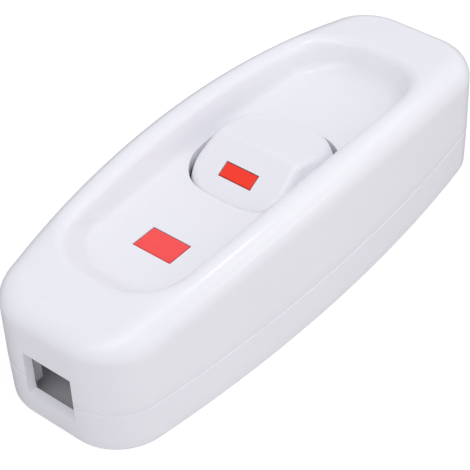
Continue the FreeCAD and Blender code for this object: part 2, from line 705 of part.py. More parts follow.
def make_fixed_contact():
    top = WALL + STRIP_THICKNESS
    button = rivet(top, top + CONTACT_HEAD, WALL, top)
    button.translate(V(fixed_contact_x(), 0, 0))
    return button


# Strips and blocks

def make_fulcrum_strip():
    """Strip under the near block, folded up into two cheeks that hold the see-saw."""
    start = NEAR_BLOCK_X - BLOCK_LENGTH / 2
    end = ROCKER_X + CHEEK_LENGTH / 2
    cheek_inside = BRIDGE_WIDTH / 2 + CHEEK_GAP
    cheek_outside = cheek_inside + CHEEK_THICKNESS
    strip = box(start, end, -STRIP_WIDTH / 2, STRIP_WIDTH / 2, WALL, WALL + STRIP_THICKNESS)
    foot = box(ROCKER_X - CHEEK_LENGTH / 2, end, -cheek_outside, cheek_outside, WALL,
               WALL + STRIP_THICKNESS)
    pieces = [strip, foot]
    pivot = fulcrum_height()
    for side in (-1, 1):
        low, high = sorted([side * cheek_inside, side * cheek_outside])
        cheek = box(ROCKER_X - CHEEK_LENGTH / 2, end, low, high, WALL, pivot)
        cheek = cheek.fuse(across(CHEEK_LENGTH / 2, ROCKER_X, pivot, low, high))
        pieces.append(cheek)
    bracket = fuse(pieces)
    bore = across(TRUNNION_RADIUS + TRUNNION_CLEARANCE, ROCKER_X, pivot, -STRIP_WIDTH, STRIP_WIDTH)
    return bracket.cut([bore, bridge_stop(SEAT_GAP)])


def make_fixed_contact_strip():
    start = fixed_contact_x() - CONTACT_RADIUS - STRIP_THICKNESS
    end = FAR_BLOCK_X + BLOCK_LENGTH / 2
    strip = box(start, end, -STRIP_WIDTH / 2, STRIP_WIDTH / 2, WALL, WALL + STRIP_THICKNESS)
    shank = upright(CONTACT_SHANK_RADIUS, fixed_contact_x(), 0, WALL, WALL + STRIP_THICKNESS)
    return strip.cut(shank)


def terminal_block(x, y, length, width, base, screw_offsets):
    top = base + BLOCK_HEIGHT
    block = centred_box(x, y, length, width, base, top)
    rim = [edge for edge in block.Edges if edge.BoundBox.ZMin > top - LEVEL_TOLERANCE]
    block = block.makeChamfer(BLOCK_CHAMFER, rim)
    wire_z = base + WIRE_HOLE_HEIGHT
    cutters = [lengthways(WIRE_HOLE_RADIUS, y, wire_z, x - length, x + length)]
    for offset in screw_offsets:
        radius = TERMINAL_SCREW_RADIUS + SCREW_CLEARANCE
        cutters.append(upright(radius, x + offset, y, wire_z, top))
    return block.cut(cutters)


def make_near_terminal_block():
    return terminal_block(NEAR_BLOCK_X, 0, BLOCK_LENGTH, BLOCK_WIDTH, WALL + STRIP_THICKNESS, [0.0])


def make_far_terminal_block():
    return terminal_block(FAR_BLOCK_X, 0, BLOCK_LENGTH, BLOCK_WIDTH, WALL + STRIP_THICKNESS, [0.0])


def neutral_offsets():
    return [-NEUTRAL_SCREW_SPACING / 2, NEUTRAL_SCREW_SPACING / 2]


def make_neutral_block():
    return terminal_block(NEUTRAL_X, NEUTRAL_Y, NEUTRAL_LENGTH, NEUTRAL_WIDTH, WALL, neutral_offsets())


# Screws and clamps

def screw(radius, length, head_radius, head_height):
    """Slotted screw with its head's underside at the origin and the shank below."""
    shank = upright(radius, 0, 0, -length, 0)
    head = upright(head_radius, 0, 0, 0, head_height)
    rim = [edge for edge in head.Edges if edge.BoundBox.ZMin > head_height - LEVEL_TOLERANCE]
    head = head.makeFillet(head_height * HEAD_ROUNDING, rim)
    slot = centred_box(0, 0, 3 * head_radius, SLOT_WIDTH, head_height - SLOT_DEPTH, head_height)
    return shank.fuse(head).removeSplitter().cut(slot)


def place(shape, x, y, z):
    placed = shape.copy()
    placed.translate(V(x, y, z))
    return placed


def make_terminal_screws():
    """Four screws, run down until their points stand in the wire holes."""
    length = BLOCK_HEIGHT - WIRE_HOLE_HEIGHT + WIRE_HOLE_RADIUS / 2
    one = screw(TERMINAL_SCREW_RADIUS, length, TERMINAL_HEAD_RADIUS, TERMINAL_HEAD_HEIGHT)
    block_top = WALL + STRIP_THICKNESS + BLOCK_HEIGHT
    screws = []
    for x in (NEAR_BLOCK_X, FAR_BLOCK_X):
        screws.append(place(one, x, 0, block_top))
    for offset in neutral_offsets():
        screws.append(place(one, NEUTRAL_X + offset, NEUTRAL_Y, WALL + BLOCK_HEIGHT))
    return Part.makeCompound(screws)


def make_clamp(side):
    """Bar that presses on the cord, arched underneath, with a screw hole at each end."""
    low = CLAMP_BOSS_HEIGHT
    x = side * CLAMP_X
    outline = barrel_wire(CLAMP_LENGTH, CLAMP_WIDTH, CLAMP_END_WIDTH, 0.0, CLAMP_CORNER, low)
    bar = prism(outline, CLAMP_THICKNESS)
    bar.rotate(V(0, 0, 0), V(0, 0, 1), 90)
    half_span = CLAMP_SCREW_Y - CLAMP_BOSS_RADIUS
    radius = bulge_radius(half_span, CLAMP_ARCH)
    bar = bar.cut(lengthways(radius, 0, low + CLAMP_ARCH - radius, -CLAMP_WIDTH, CLAMP_WIDTH))
    hole = CLAMP_SCREW_RADIUS + SHANK_CLEARANCE
    for row in (-1, 1):
        bar = bar.cut(upright(hole, 0, row * CLAMP_SCREW_Y, low, low + CLAMP_THICKNESS))
    bar.translate(V(x, 0, 0))
    return bar


def make_near_cord_clamp():
    return make_clamp(-1)


def make_far_cord_clamp():
    return make_clamp(1)


def make_clamp_screws():
    length = CLAMP_THICKNESS + CLAMP_BOSS_HEIGHT - 2 * WALL
    one = screw(CLAMP_SCREW_RADIUS, length, CLAMP_HEAD_RADIUS, CLAMP_HEAD_HEIGHT)
    top = CLAMP_BOSS_HEIGHT + CLAMP_THICKNESS
    return Part.makeCompound([place(one, x, y, top) for x, y in clamp_places()])


def make_housing_screws():
    """Two screws driven from below, heads sunk in the lower shell."""
    length = PARTING_HEIGHT - HOUSING_HEAD_DEPTH + HOUSING_SCREW_GRIP
    one = screw(HOUSING_SCREW_RADIUS, length, HOUSING_HEAD_RADIUS, HOUSING_HEAD_HEIGHT)
    one.rotate(V(0, 0, 0), V(1, 0, 0), 180)
    return Part.makeCompound([place(one, x, y, HOUSING_HEAD_DEPTH) for x, y in screw_places()])


# Red inlays

def make_dish_mark():
    return dish_mark_box()


def make_rocker_mark():
    return rocker_mark_box()


def in_rocker(shape):
    return turned(shape, -ROCKER_TILT, ROCKER_X, PIVOT_HEIGHT)


def in_bridge(shape):
    return turned(shape, BRIDGE_TILT, ROCKER_X, fulcrum_height())


def all_pieces():
    return {
        "upper_housing": make_upper_housing(),
        "lower_housing": make_lower_housing(),
        "rocker": in_rocker(make_rocker()),
        "rocker_mark": in_rocker(make_rocker_mark()),
        "dish_mark": make_dish_mark(),
        "plunger": in_rocker(make_plunger()),
        "plunger_spring": in_rocker(make_plunger_spring()),
        "contact_bridge": in_bridge(make_contact_bridge()),
        "moving_contact": in_bridge(make_moving_contact()),
        "fixed_contact": make_fixed_contact(),
        "fulcrum_strip": make_fulcrum_strip(),
        "fixed_contact_strip": make_fixed_contact_strip(),
        "near_terminal_block": make_near_terminal_block(),
        "far_terminal_block": make_far_terminal_block(),
        "neutral_block": make_neutral_block(),
        "terminal_screws": make_terminal_screws(),
        "near_cord_clamp": make_near_cord_clamp(),
        "far_cord_clamp": make_far_cord_clamp(),
        "clamp_screws": make_clamp_screws(),
        "housing_screws": make_housing_screws(),
    }


os.makedirs("parts", exist_ok=True)
for name, shape in all_pieces().items():
    shape.exportStep("parts/" + name + ".step")
    print(name, len(shape.Solids), "solids", round(shape.Volume / 1000.0, 3), "cm3", shape.isValid())
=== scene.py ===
import math
import bmesh
import bpy
import numpy as np
from mathutils import Matrix, Quaternion, Vector


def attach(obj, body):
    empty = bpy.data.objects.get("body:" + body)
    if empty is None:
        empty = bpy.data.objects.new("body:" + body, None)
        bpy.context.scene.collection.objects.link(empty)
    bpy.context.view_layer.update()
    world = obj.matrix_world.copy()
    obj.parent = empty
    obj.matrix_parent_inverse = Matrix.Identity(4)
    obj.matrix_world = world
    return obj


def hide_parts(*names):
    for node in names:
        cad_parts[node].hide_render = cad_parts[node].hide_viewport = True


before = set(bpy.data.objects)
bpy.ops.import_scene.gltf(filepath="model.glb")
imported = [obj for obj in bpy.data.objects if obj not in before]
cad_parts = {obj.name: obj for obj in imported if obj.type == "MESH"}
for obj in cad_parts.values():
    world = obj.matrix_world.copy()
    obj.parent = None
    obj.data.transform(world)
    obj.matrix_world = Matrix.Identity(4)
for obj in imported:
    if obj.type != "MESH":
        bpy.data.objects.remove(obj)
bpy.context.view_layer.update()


# Upper shell
# The deep half of the body, one moulding in glossy white urea plastic. Its sides are bowed,
# its top is arched along the cord, and a thumb dish with a cut-out for the rocker is sunk in
# it. Two screws from below hold it on the lower shell.

# Sizes are in millimetres. A plan gives length, width, width at the ends, bow of the ends and
# corner radius.
BODY_LENGTH, BODY_WIDTH, BODY_END_WIDTH, BODY_CORNER = 88.0, 32.1, 24.0, 8.8
BODY_PLAN = (BODY_LENGTH, BODY_WIDTH, BODY_END_WIDTH, 0.0, BODY_CORNER)
CROWN_TOP, CROWN_END = 23.85, 18.9
WALL = 2.0
SEAM_HEIGHT, SEAM_NICK, NICK_RINGS = 7.2, 0.06, 5
TOP_EDGE = 4.5
DISH_DEPTH_AT = 16.87
DISH_FLOOR = (58.4, 19.9, 17.2, 0.0, 7.0)
DISH_RIM, DISH_RIM_SHIFT = (74.0, 24.0, 21.3, 0.0, 9.6), 2.4
DISH_COVE, DISH_LIP = 3.0, 1.8

# Steps of the grids: along a quarter's side, corner and end, then from ring to ring.
PLAN_STEPS = (40, 18, 6)
LIP_STEPS, COVE_STEPS, INNER_COVE_STEPS = 10, 12, 8
CROWN_STEPS, INNER_CROWN_STEPS = 34, 14
SIDE_STEPS, WALL_STEPS, ROUND_STEPS = 6, 4, 48
BAR_SHARES = (0.0, 0.015, 0.06, 0.2, 0.5, 0.8, 0.94, 0.985, 1.0)


def rise_radius(half_chord, rise):
    """Radius of the arc that rises by rise over half a chord: (c^2 + h^2) / 2h."""
    return (half_chord ** 2 + rise ** 2) / (2.0 * rise)


def barrel(length, width, end_width, end_rise, corner, inset=0.0, counts=PLAN_STEPS):
    """Plan outline with bowed sides: points and outward normals, clockwise from the far side.

    A quarter is three tangent arcs. Each point is its arc's centre plus (radius - inset)
    times (cos a, sin a), with a running from 90 degrees at the side to 0 at the end. The
    other three quarters mirror it, so point i and point -i stand across from each other.
    """
    half_length, half_width = length / 2, width / 2
    side_radius = rise_radius(half_length, half_width - end_width / 2)
    side_centre = np.array([0.0, half_width - side_radius])
    reach = side_radius - corner
    if end_rise > 0:
        end_radius = rise_radius(end_width / 2, end_rise)
        end_centre = np.array([half_length - end_radius, 0.0])
        span = end_centre - side_centre
        gap = math.hypot(*span)
        along = (reach ** 2 - (end_radius - corner) ** 2 + gap ** 2) / (2 * gap)
        off = math.sqrt(reach ** 2 - along ** 2)
        direction = span / gap
        across = np.array([direction[1], -direction[0]])
        corner_centre = side_centre + direction * along + across * off
        end_turn = math.atan2(*(corner_centre - end_centre)[::-1])
    else:
        corner_x = half_length - corner
        rise = math.sqrt(reach ** 2 - corner_x ** 2)
        corner_centre = np.array([corner_x, side_centre[1] + rise])
        end_turn = 0.0
    side_turn = math.atan2(*(corner_centre - side_centre)[::-1])
    side_angles = np.linspace(math.pi / 2, side_turn, counts[0] + 1)
    corner_angles = np.linspace(side_turn, end_turn, counts[1] + 1)[1:]
    sweep = [(side_centre, side_radius, side_angles), (corner_centre, corner, corner_angles)]
    if end_rise > 0:
        sweep.append((end_centre, end_radius, np.linspace(end_turn, 0.0, counts[2] + 1)[1:]))
    points, normals = [], []
    for centre, radius, angles in sweep:
        normal = np.stack([np.cos(angles), np.sin(angles)], axis=1)
        normals.append(normal)
        points.append(centre + (radius - inset) * normal)
    points, normals = np.concatenate(points), np.concatenate(normals)
    if end_rise == 0:
        drop = np.linspace(1.0, 0.0, counts[2] + 1)[1:, None]
        points = np.concatenate([points, points[-1] * np.hstack([np.ones_like(drop), drop])])
        normals = np.concatenate([normals, np.tile([1.0, 0.0], (counts[2], 1))])

    def all_round(quarter):
        """The quarter, its mirror across the width, and both mirrored along the length."""
        right = np.concatenate([quarter, (quarter * [1, -1])[-2::-1]])
        left = (right * [-1, 1])[-2:0:-1]
        return np.concatenate([right, left])

    return all_round(points), all_round(normals)


def at_height(points, z):
    """Plan points stood at height z, which is one number or one per point."""
    return np.column_stack([points, np.broadcast_to(z, len(points))])


def steps(count):
    """Even shares from 0 to 1, shaped to multiply whole rings."""
    return np.linspace(0.0, 1.0, count + 1)[:, None, None]


def ruled(first, last, count):
    """Rings spaced evenly on the straight lines from one ring to another, both left out."""
    t = steps(count)[1:-1]
    return list((1 - t) * first + t * last)


def rolled(centre, radius, first, last, count):
    """Rings of a rounded edge or cove: centre + radius * n, n turned evenly from first to last."""
    turn = np.arccos(np.clip((first * last).sum(axis=1), -1, 1))[:, None]
    t = steps(count)
    turned = np.sin((1 - t) * turn) * first + np.sin(t * turn) * last
    return list(centre + radius * turned / np.sin(turn))


def shared_offset(first, last):
    """Step from a corner to the centre of a unit ball touching both faces: (a + b) / (1 + a.b)."""
    return (first + last) / (1 + (first * last).sum(axis=1))[:, None]


def crown_height(x, drop):
    """Height of the arched top over x, a circle along the cord, lowered inside by drop."""
    radius = rise_radius(BODY_LENGTH / 2, CROWN_TOP - CROWN_END)
    return CROWN_TOP - radius + np.sqrt((radius - drop) ** 2 - x ** 2)


def crown_normal(x, drop):
    """Upward normal of the arched top: x over the circle's radius, and what that leaves."""
    radius = rise_radius(BODY_LENGTH / 2, CROWN_TOP - CROWN_END) - drop
    return np.column_stack([x / radius, np.zeros_like(x), np.sqrt(1 - (x / radius) ** 2)])


NOT_ZERO = 1e-9


def outline_distance(points):
    """How far plan points stand in from the body's outline, and the way out to it.

    Points are folded into one quarter. There the distance is to the side's circle, the flat
    end or the corner's circle, whichever part of the outline a point lies beside.
    """
    half_length, half_width = BODY_LENGTH / 2, BODY_WIDTH / 2
    side_radius = rise_radius(half_length, half_width - BODY_END_WIDTH / 2)
    side_centre = np.array([0.0, half_width - side_radius])
    corner_x = half_length - BODY_CORNER
    rise = math.sqrt((side_radius - BODY_CORNER) ** 2 - corner_x ** 2)
    corner_centre = np.array([corner_x, side_centre[1] + rise])
    spoke = corner_centre - side_centre
    folded = np.abs(points)
    from_side, from_corner = folded - side_centre, folded - corner_centre
    side_far = np.linalg.norm(from_side, axis=1)
    corner_far = np.linalg.norm(from_corner, axis=1) + NOT_ZERO
    on_side = spoke[0] * from_side[:, 1] > spoke[1] * from_side[:, 0]
    on_end = folded[:, 1] < corner_centre[1]
    distance = np.select([on_side, on_end], [side_radius - side_far, half_length - folded[:, 0]],
                         BODY_CORNER - corner_far)
    way_out = np.select([on_side[:, None], on_end[:, None]],
                        [from_side / side_far[:, None], np.tile([1.0, 0.0], (len(points), 1))],
                        from_corner / corner_far[:, None])
    return distance, way_out * np.sign(points)


TOP_ROUNDS = 8


def rounded_top(plan, drop):
    """Height and normal of the arched top with its rounded outer edge, lowered inside by drop.

    The edge is a tube round an axis TOP_EDGE in from the side and under the arch. At a share
    o of its radius r = TOP_EDGE - drop out from the axis, the normal is o times the way out
    plus sqrt(1 - o^2) times the arch's normal, and the point is the axis plus r normals. The
    arch leans a point along x, so the axis under it is found in a few rounds.
    """
    radius = TOP_EDGE - drop
    tilt = np.zeros(len(plan))
    for _ in range(TOP_ROUNDS):
        level = plan - np.column_stack([tilt, np.zeros_like(tilt)])
        distance, way_out = outline_distance(level)
        out = np.clip((TOP_EDGE - distance) / radius, 0.0, 1.0)
        up = np.sqrt(1 - out ** 2)
        axis_x = level[:, 0] - way_out[:, 0] * out * radius
        arch = crown_normal(axis_x, TOP_EDGE)
        tilt = radius * up * arch[:, 0]
    height = crown_height(axis_x, TOP_EDGE) + radius * up * arch[:, 2]
    return height, out[:, None] * at_height(way_out, 0.0) + up[:, None] * arch


def side_top(inset):
    """Ring on the upright side, inset from the outside, where the rounded edge begins."""
    axis = barrel(*BODY_PLAN, TOP_EDGE)[0]
    plan = barrel(*BODY_PLAN, inset)[0]
    return at_height(plan, crown_height(axis[:, 0], TOP_EDGE))


def over_top(side, inner, drop, count):
    """Rings over the rounded edge and the arch, straight in plan and closest by the side."""
    rings = []
    for share in 1 - np.cos(np.linspace(0, math.pi / 2, count + 1))[1:-1]:
        plan = side[:, :2] + share * (inner - side)[:, :2]
        rings.append(at_height(plan, rounded_top(plan, drop)[0]))
    return rings


def dish_wall(grow):
    """The dish's sloped wall: foot and head rings of its straight lines, and its air-side normal.

    The normal is the cross product of a line and the way along the ring.
    """
    foot = at_height(barrel(*DISH_FLOOR, inset=-grow)[0], DISH_DEPTH_AT - grow)
    plan, outward = barrel(*DISH_RIM, inset=-grow)
    head = at_height(plan - [DISH_RIM_SHIFT, 0.0], CROWN_TOP + WALL)
    middle = (foot + head) / 2
    along = np.roll(middle, -1, axis=0) - np.roll(middle, 1, axis=0)
    normal = np.cross(head - foot, along)
    normal /= np.linalg.norm(normal, axis=1)[:, None]
    facing = np.sign((normal[:, :2] * outward).sum(axis=1))[:, None]
    return foot, head, -normal * facing


START_SHARE, WALL_ROUNDS, WALL_DAMPING = 0.6, 80, 0.5


def under_top(foot, head, drop):
    """Where straight lines up the dish's wall reach the top lowered by drop, and its normal there.

    Each round moves the share of the line part of the way to where the top's height puts it.
    """
    share = np.full(len(foot), START_SHARE)
    for _ in range(WALL_ROUNDS):
        point = foot + share[:, None] * (head - foot)
        height, normal = rounded_top(point[:, :2], drop)
        share += WALL_DAMPING * ((height - foot[:, 2]) / (head - foot)[:, 2] - share)
    return foot + share[:, None] * (head - foot), normal


def dish_rings(grow, drop, lip_count, cove_count):
    """Rings down the dish from the top: lip, wall and the cove into the flat floor.

    The lip is the path of a ball of DISH_LIP that touches the top and the wall from inside.
    """
    foot, head, normal = dish_wall(grow)
    up = np.tile([0.0, 0.0, 1.0], (len(foot), 1))
    cove = DISH_COVE + grow
    centre = foot + cove * shared_offset(up, normal)
    if lip_count:
        sunk = DISH_LIP * normal
        lip_centre, top = under_top(foot - sunk, head - sunk, drop + DISH_LIP)
        lip = rolled(lip_centre, DISH_LIP, top, normal, lip_count)
    else:
        lip = [under_top(foot, head, drop)[0]]
    bend = rolled(centre, cove, -normal, -up, cove_count)
    return lip + ruled(lip[-1], bend[0], WALL_STEPS) + bend


def bars(ring):
    """A ring filled by straight bars across it, from each point to the one it mirrors."""
    quarter = len(ring) // 4
    order = np.arange(3 * quarter, 5 * quarter + 1) % len(ring)
    partner = (6 * quarter - np.arange(3 * quarter, 5 * quarter + 1)) % len(ring)
    t = np.array(BAR_SHARES)[None, :, None]
    return (1 - t) * ring[order][:, None, :] + t * ring[partner][:, None, :]


def quads(rows, columns, closed, start=0):
    """Corner numbers of a grid's faces, with the last column joined to the first if closed."""
    wide = columns if closed else columns - 1
    row, column = np.meshgrid(np.arange(rows - 1), np.arange(wide), indexing="ij")
    beside = (column + 1) % columns
    corners = [row * columns + column, row * columns + beside,
               (row + 1) * columns + beside, (row + 1) * columns + column]
    return start + np.stack(corners, axis=-1).reshape(-1, 4)


def closed_skin(rings):
    """Closed surface through a stack of rings, its first and last ring filled by bars."""
    stack = np.array(rings)
    grids = [stack, bars(stack[0]), bars(stack[-1])]
    faces, start = [], 0
    for grid in grids:
        rows, columns = grid.shape[:2]
        faces.append(quads(rows, columns, grid is stack, start))
        start += rows * columns
    return np.concatenate([grid.reshape(-1, 3) for grid in grids]), np.concatenate(faces)


def revolved(profile, centre, axis=(0, 0, 1)):
    """Closed ring-shaped solid: each (radius, height) of a closed profile goes round an axis."""
    profile = np.array(profile, dtype=float)
    angle = np.linspace(0, 2 * math.pi, ROUND_STEPS, endpoint=False)[:, None]
    radius, height = profile[None, :, 0], profile[None, :, 1]
    x, y = radius * np.cos(angle), radius * np.sin(angle)
    upright = np.stack([x, y, height + 0 * angle], axis=-1)
    turn = np.array(Vector((0, 0, 1)).rotation_difference(Vector(axis)).to_matrix())
    points = upright.reshape(-1, 3) @ turn.T + np.array(centre)
    around = quads(ROUND_STEPS + 1, len(profile), True) % (ROUND_STEPS * len(profile))
    return points, around


def slab(low, high):
    """Straight-sided block between two four-cornered faces given in the same order."""
    points = np.array(list(low) + list(high), dtype=float)
    sides = [[i, (i + 1) % 4, 4 + (i + 1) % 4, 4 + i] for i in range(4)]
    return points, np.array([[3, 2, 1, 0], [4, 5, 6, 7]] + sides)


def rectangle(x, half_width, low, high):
    """Corners of an upright rectangle across the cord at x, evenly about the middle."""
    return [(x, -half_width, low), (x, half_width, low),
            (x, half_width, high), (x, -half_width, high)]


def box_between(low, high):
    """Level block between its lowest and its highest corner."""
    middle, half = (low[1] + high[1]) / 2, (high[1] - low[1]) / 2
    shift = np.array([0.0, middle, 0.0])
    return slab(np.array(rectangle(low[0], half, low[2], high[2])) + shift,
                np.array(rectangle(high[0], half, low[2], high[2])) + shift)


MILLIMETRE, WELD, SHARP_ANGLE = 0.001, 1e-6, math.radians(32.0)


def mesh_from(name, shells, place=None):
    """One mesh in metres from closed shells in millimetres, welded, with faces outward."""
    work = bmesh.new()
    for points, faces in shells:
        if place is not None:
            points = points @ np.array(place.to_3x3()).T + np.array(place.translation)
        part = bpy.data.meshes.new(name)
        part.from_pydata((points * MILLIMETRE).tolist(), [], faces.tolist())
        piece = bmesh.new()
        piece.from_mesh(part)
        bmesh.ops.remove_doubles(piece, verts=piece.verts, dist=WELD)
        bmesh.ops.recalc_face_normals(piece, faces=piece.faces)
        piece.to_mesh(part)
        piece.free()
        work.from_mesh(part)
        bpy.data.meshes.remove(part)
    mesh = bpy.data.meshes.new(name)
    work.to_mesh(mesh)
    work.free()
    return mesh


def linked(name, data):
    """Object of that data, put into the scene."""
    made = bpy.data.objects.new(name, data)
    bpy.context.scene.collection.objects.link(made)
    return made


def carved(name, shells, cutters, additions=(), place=None):
    """Piece with every cutter taken out of its shells and the additions set into it."""
    piece = linked(name, mesh_from(name, shells, place))
    tools = []
    for number, cutter in enumerate(cutters):
        tool = linked(name + "_tool_%d" % number, mesh_from("tool", [cutter], place))
        tools.append(tool)
        cut = piece.modifiers.new("cut_%d" % number, "BOOLEAN")
        cut.operation, cut.solver, cut.object = "DIFFERENCE", "EXACT", tool
    bpy.context.view_layer.update()
    cut_piece = piece.evaluated_get(bpy.context.evaluated_depsgraph_get())
    done = bpy.data.meshes.new_from_object(cut_piece)
    piece.modifiers.clear()
    whole = bmesh.new()
    whole.from_mesh(done)
    if additions:
        whole.from_mesh(mesh_from("added", additions, place))
    whole.to_mesh(done)
    whole.free()
    done.name = name
    piece.data = done
    for tool in tools:
        bpy.data.objects.remove(tool)
    done.shade_smooth()
    done.set_sharp_from_angle(angle=SHARP_ANGLE)
    return piece


MOUTH_WIDTH, MOUTH_BOTTOM, MOUTH_TOP = 9.0, 4.1, 12.0
MOUTH_LIP, MOUTH_FLARE, MOUTH_RELIEF, MOUTH_BACK, MOUTH_OVERLAP = 1.2, 0.4, 1.0, 4.0, 0.6
OVERCUT = 1.0


def mouth_cutters(side):
    """The cord mouth's flare, narrowing inwards, and the wider relief behind its lip."""
    def section(depth):
        """Opening at a depth in from the end, drawn in evenly by MOUTH_FLARE over the lip."""
        draw = MOUTH_FLARE * depth / MOUTH_LIP
        x = side * (BODY_LENGTH / 2 - depth)
        return rectangle(x, MOUTH_WIDTH / 2 - draw, MOUTH_BOTTOM + draw, MOUTH_TOP - draw)
    spread = MOUTH_RELIEF - MOUTH_FLARE
    half_width, top = MOUTH_WIDTH / 2 + spread, MOUTH_TOP + spread
    relief = [rectangle(side * (BODY_LENGTH / 2 - depth), half_width, WALL, top)
              for depth in (MOUTH_LIP, MOUTH_LIP + MOUTH_BACK)]
    return [slab(section(-OVERCUT), section(MOUTH_LIP + MOUTH_OVERLAP)), slab(*relief)]


ROCKER_X, PIVOT_HEIGHT, ROCKER_TILT = 3.3, 13.06, 9.4
OPENING = (20.9, 19.4, 17.4, 1.0, 6.7)
DISH_MARK_X, DISH_MARK_LENGTH, DISH_MARK_WIDTH, MARK_DEPTH = -19.7, 4.7, 7.1, 0.5
EAR_INSIDE, EAR_OUTSIDE, EAR_RADIUS, EAR_PLATE_RISE = 9.9, 11.5, 2.85, 0.2
STUB_RADIUS, STUB_PLAY = 1.5, 0.05
HOUSING_SCREWS = [(-25.5, -7.6), (25.5, 7.6)]
UPPER_BOSS_RADIUS, PILOT_RADIUS, PILOT_DEPTH = 2.8, 1.35, 7.0


def opening_cutter():
    """The rocker's opening: its plan outline carried straight up through the dish's floor."""
    plan = barrel(*OPENING)[0] + [ROCKER_X, 0.0]
    return closed_skin([at_height(plan, DISH_DEPTH_AT - 2 * WALL), at_height(plan, CROWN_TOP)])


def dish_mark_pocket():
    """Pocket in the dish's floor that the red tablet lies in."""
    half_length, half_width = DISH_MARK_LENGTH / 2, DISH_MARK_WIDTH / 2
    return box_between((DISH_MARK_X - half_length, -half_width, DISH_DEPTH_AT - MARK_DEPTH),
                       (DISH_MARK_X + half_length, half_width, DISH_DEPTH_AT + OVERCUT))


def upper_shell_rings():
    """Out of the dish, over the crown, down the outside, and back up inside the wall."""
    dish = dish_rings(0.0, 0.0, LIP_STEPS, COVE_STEPS)
    side = side_top(0.0)
    plan, normal = barrel(*BODY_PLAN)
    foot = at_height(plan, SEAM_HEIGHT)
    nick = [foot + SEAM_NICK * at_height(-normal * (1 - math.sin(a)), 1 - math.cos(a))
            for a in np.radians(np.linspace(0, 90, NICK_RINGS))]
    inside = at_height(barrel(*BODY_PLAN, WALL)[0], SEAM_HEIGHT)
    inner_side = side_top(WALL)
    under = dish_rings(WALL, WALL, 0, INNER_COVE_STEPS)
    rings = dish[::-1] + over_top(side, dish[0], 0.0, CROWN_STEPS)[::-1] + [side]
    rings += ruled(side, nick[-1], SIDE_STEPS) + nick[::-1] + [inside]
    rings += ruled(inside, inner_side, WALL_STEPS) + [inner_side]
    rings += over_top(inner_side, under[0], WALL, INNER_CROWN_STEPS) + under
    return rings


def ear(side):
    """Ear under the dish with the bore that one of the rocker's stubs turns in."""
    low, high = sorted([side * EAR_INSIDE, side * EAR_OUTSIDE])
    bore = STUB_RADIUS + STUB_PLAY
    ring = revolved([(bore, 0), (EAR_RADIUS, 0), (EAR_RADIUS, high - low), (bore, high - low)],
                    (ROCKER_X, low, PIVOT_HEIGHT), (0, 1, 0))
    plate = box_between((ROCKER_X - EAR_RADIUS, low, PIVOT_HEIGHT + bore + EAR_PLATE_RISE),
                        (ROCKER_X + EAR_RADIUS, high, DISH_DEPTH_AT))
    return [ring, plate]


def upper_boss(x, y):
    """Boss that a housing screw bites into, with its blind pilot hole."""
    top, pilot_top = DISH_DEPTH_AT - WALL / 4, SEAM_HEIGHT + PILOT_DEPTH
    profile = [(PILOT_RADIUS, SEAM_HEIGHT), (UPPER_BOSS_RADIUS, SEAM_HEIGHT),
               (UPPER_BOSS_RADIUS, top), (0.0, top), (0.0, pilot_top), (PILOT_RADIUS, pilot_top)]
    return revolved(profile, (x, y, 0))


upper_shell = carved(
    "upper_shell", [closed_skin(upper_shell_rings())],
    [opening_cutter(), dish_mark_pocket()] + mouth_cutters(-1) + mouth_cutters(1),
    ear(-1) + ear(1) + [upper_boss(x, y) for x, y in HOUSING_SCREWS])


def linear(hex_colour):
    """sRGB hex to linear RGBA."""
    values = [int(hex_colour[i:i + 2], 16) / 255 for i in (1, 3, 5)]
    return tuple(v / 12.92 if v <= 0.04045 else ((v + 0.055) / 1.055) ** 2.4
                 for v in values) + (1.0,)


def add(tree, kind, settings=(), sockets=()):
    """Adds a shader node, sets its properties, and fills or links its sockets."""
    made = tree.nodes.new(kind)
    for name, value in dict(settings).items():
        setattr(made, name, value)
    for name, value in dict(sockets).items():
        if isinstance(value, bpy.types.NodeSocket):
            tree.links.new(value, made.inputs[name])
        else:
            made.inputs[name].default_value = value
    return made


def new_material(name):
    """Material with an empty node tree, and that tree."""
    material = bpy.data.materials.new(name)
    material.use_nodes = True
    material.node_tree.nodes.clear()
    return material, material.node_tree


def moulded_urea(name, pale, deep, roughness):
    """Compression-moulded urea plastic from a polished steel tool.

    It is bright white with a hint of blue, in clouds about 2 cm across that are too faint to
    see as such. The gloss is even, broken only by a faint orange peel about 1.5 mm across
    and by sink about 2 cm long.
    """
    material, tree = new_material(name)
    place = add(tree, "ShaderNodeTexCoord").outputs["Object"]
    cloud = add(tree, "ShaderNodeTexNoise",
                sockets={"Vector": place, "Scale": 55.0, "Detail": 3.0})
    tint = add(tree, "ShaderNodeMix", {"data_type": "RGBA"},
               {"Factor": cloud.outputs["Fac"], "A": linear(pale), "B": linear(deep)})
    peel = add(tree, "ShaderNodeTexNoise",
               sockets={"Vector": place, "Scale": 650.0, "Detail": 1.0})
    sink = add(tree, "ShaderNodeTexNoise",
               sockets={"Vector": place, "Scale": 45.0, "Detail": 0.0})
    wave = add(tree, "ShaderNodeBump", sockets={
        "Strength": 0.25, "Distance": 0.0004, "Height": sink.outputs["Fac"]})
    skin = add(tree, "ShaderNodeBump", sockets={
        "Strength": 0.18, "Distance": 0.00002, "Height": peel.outputs["Fac"],
        "Normal": wave.outputs["Normal"]})
    wipe = add(tree, "ShaderNodeMapRange", sockets={
        "Value": cloud.outputs["Fac"], "From Min": 0.3, "From Max": 0.7,
        "To Min": roughness - 0.03, "To Max": roughness + 0.03})
    plastic = add(tree, "ShaderNodeBsdfPrincipled", sockets={
        "Base Color": tint.outputs["Result"], "Roughness": wipe.outputs["Result"], "IOR": 1.5,
        "Normal": skin.outputs["Normal"]})
    add(tree, "ShaderNodeOutputMaterial", sockets={"Surface": plastic.outputs["BSDF"]})
    return material


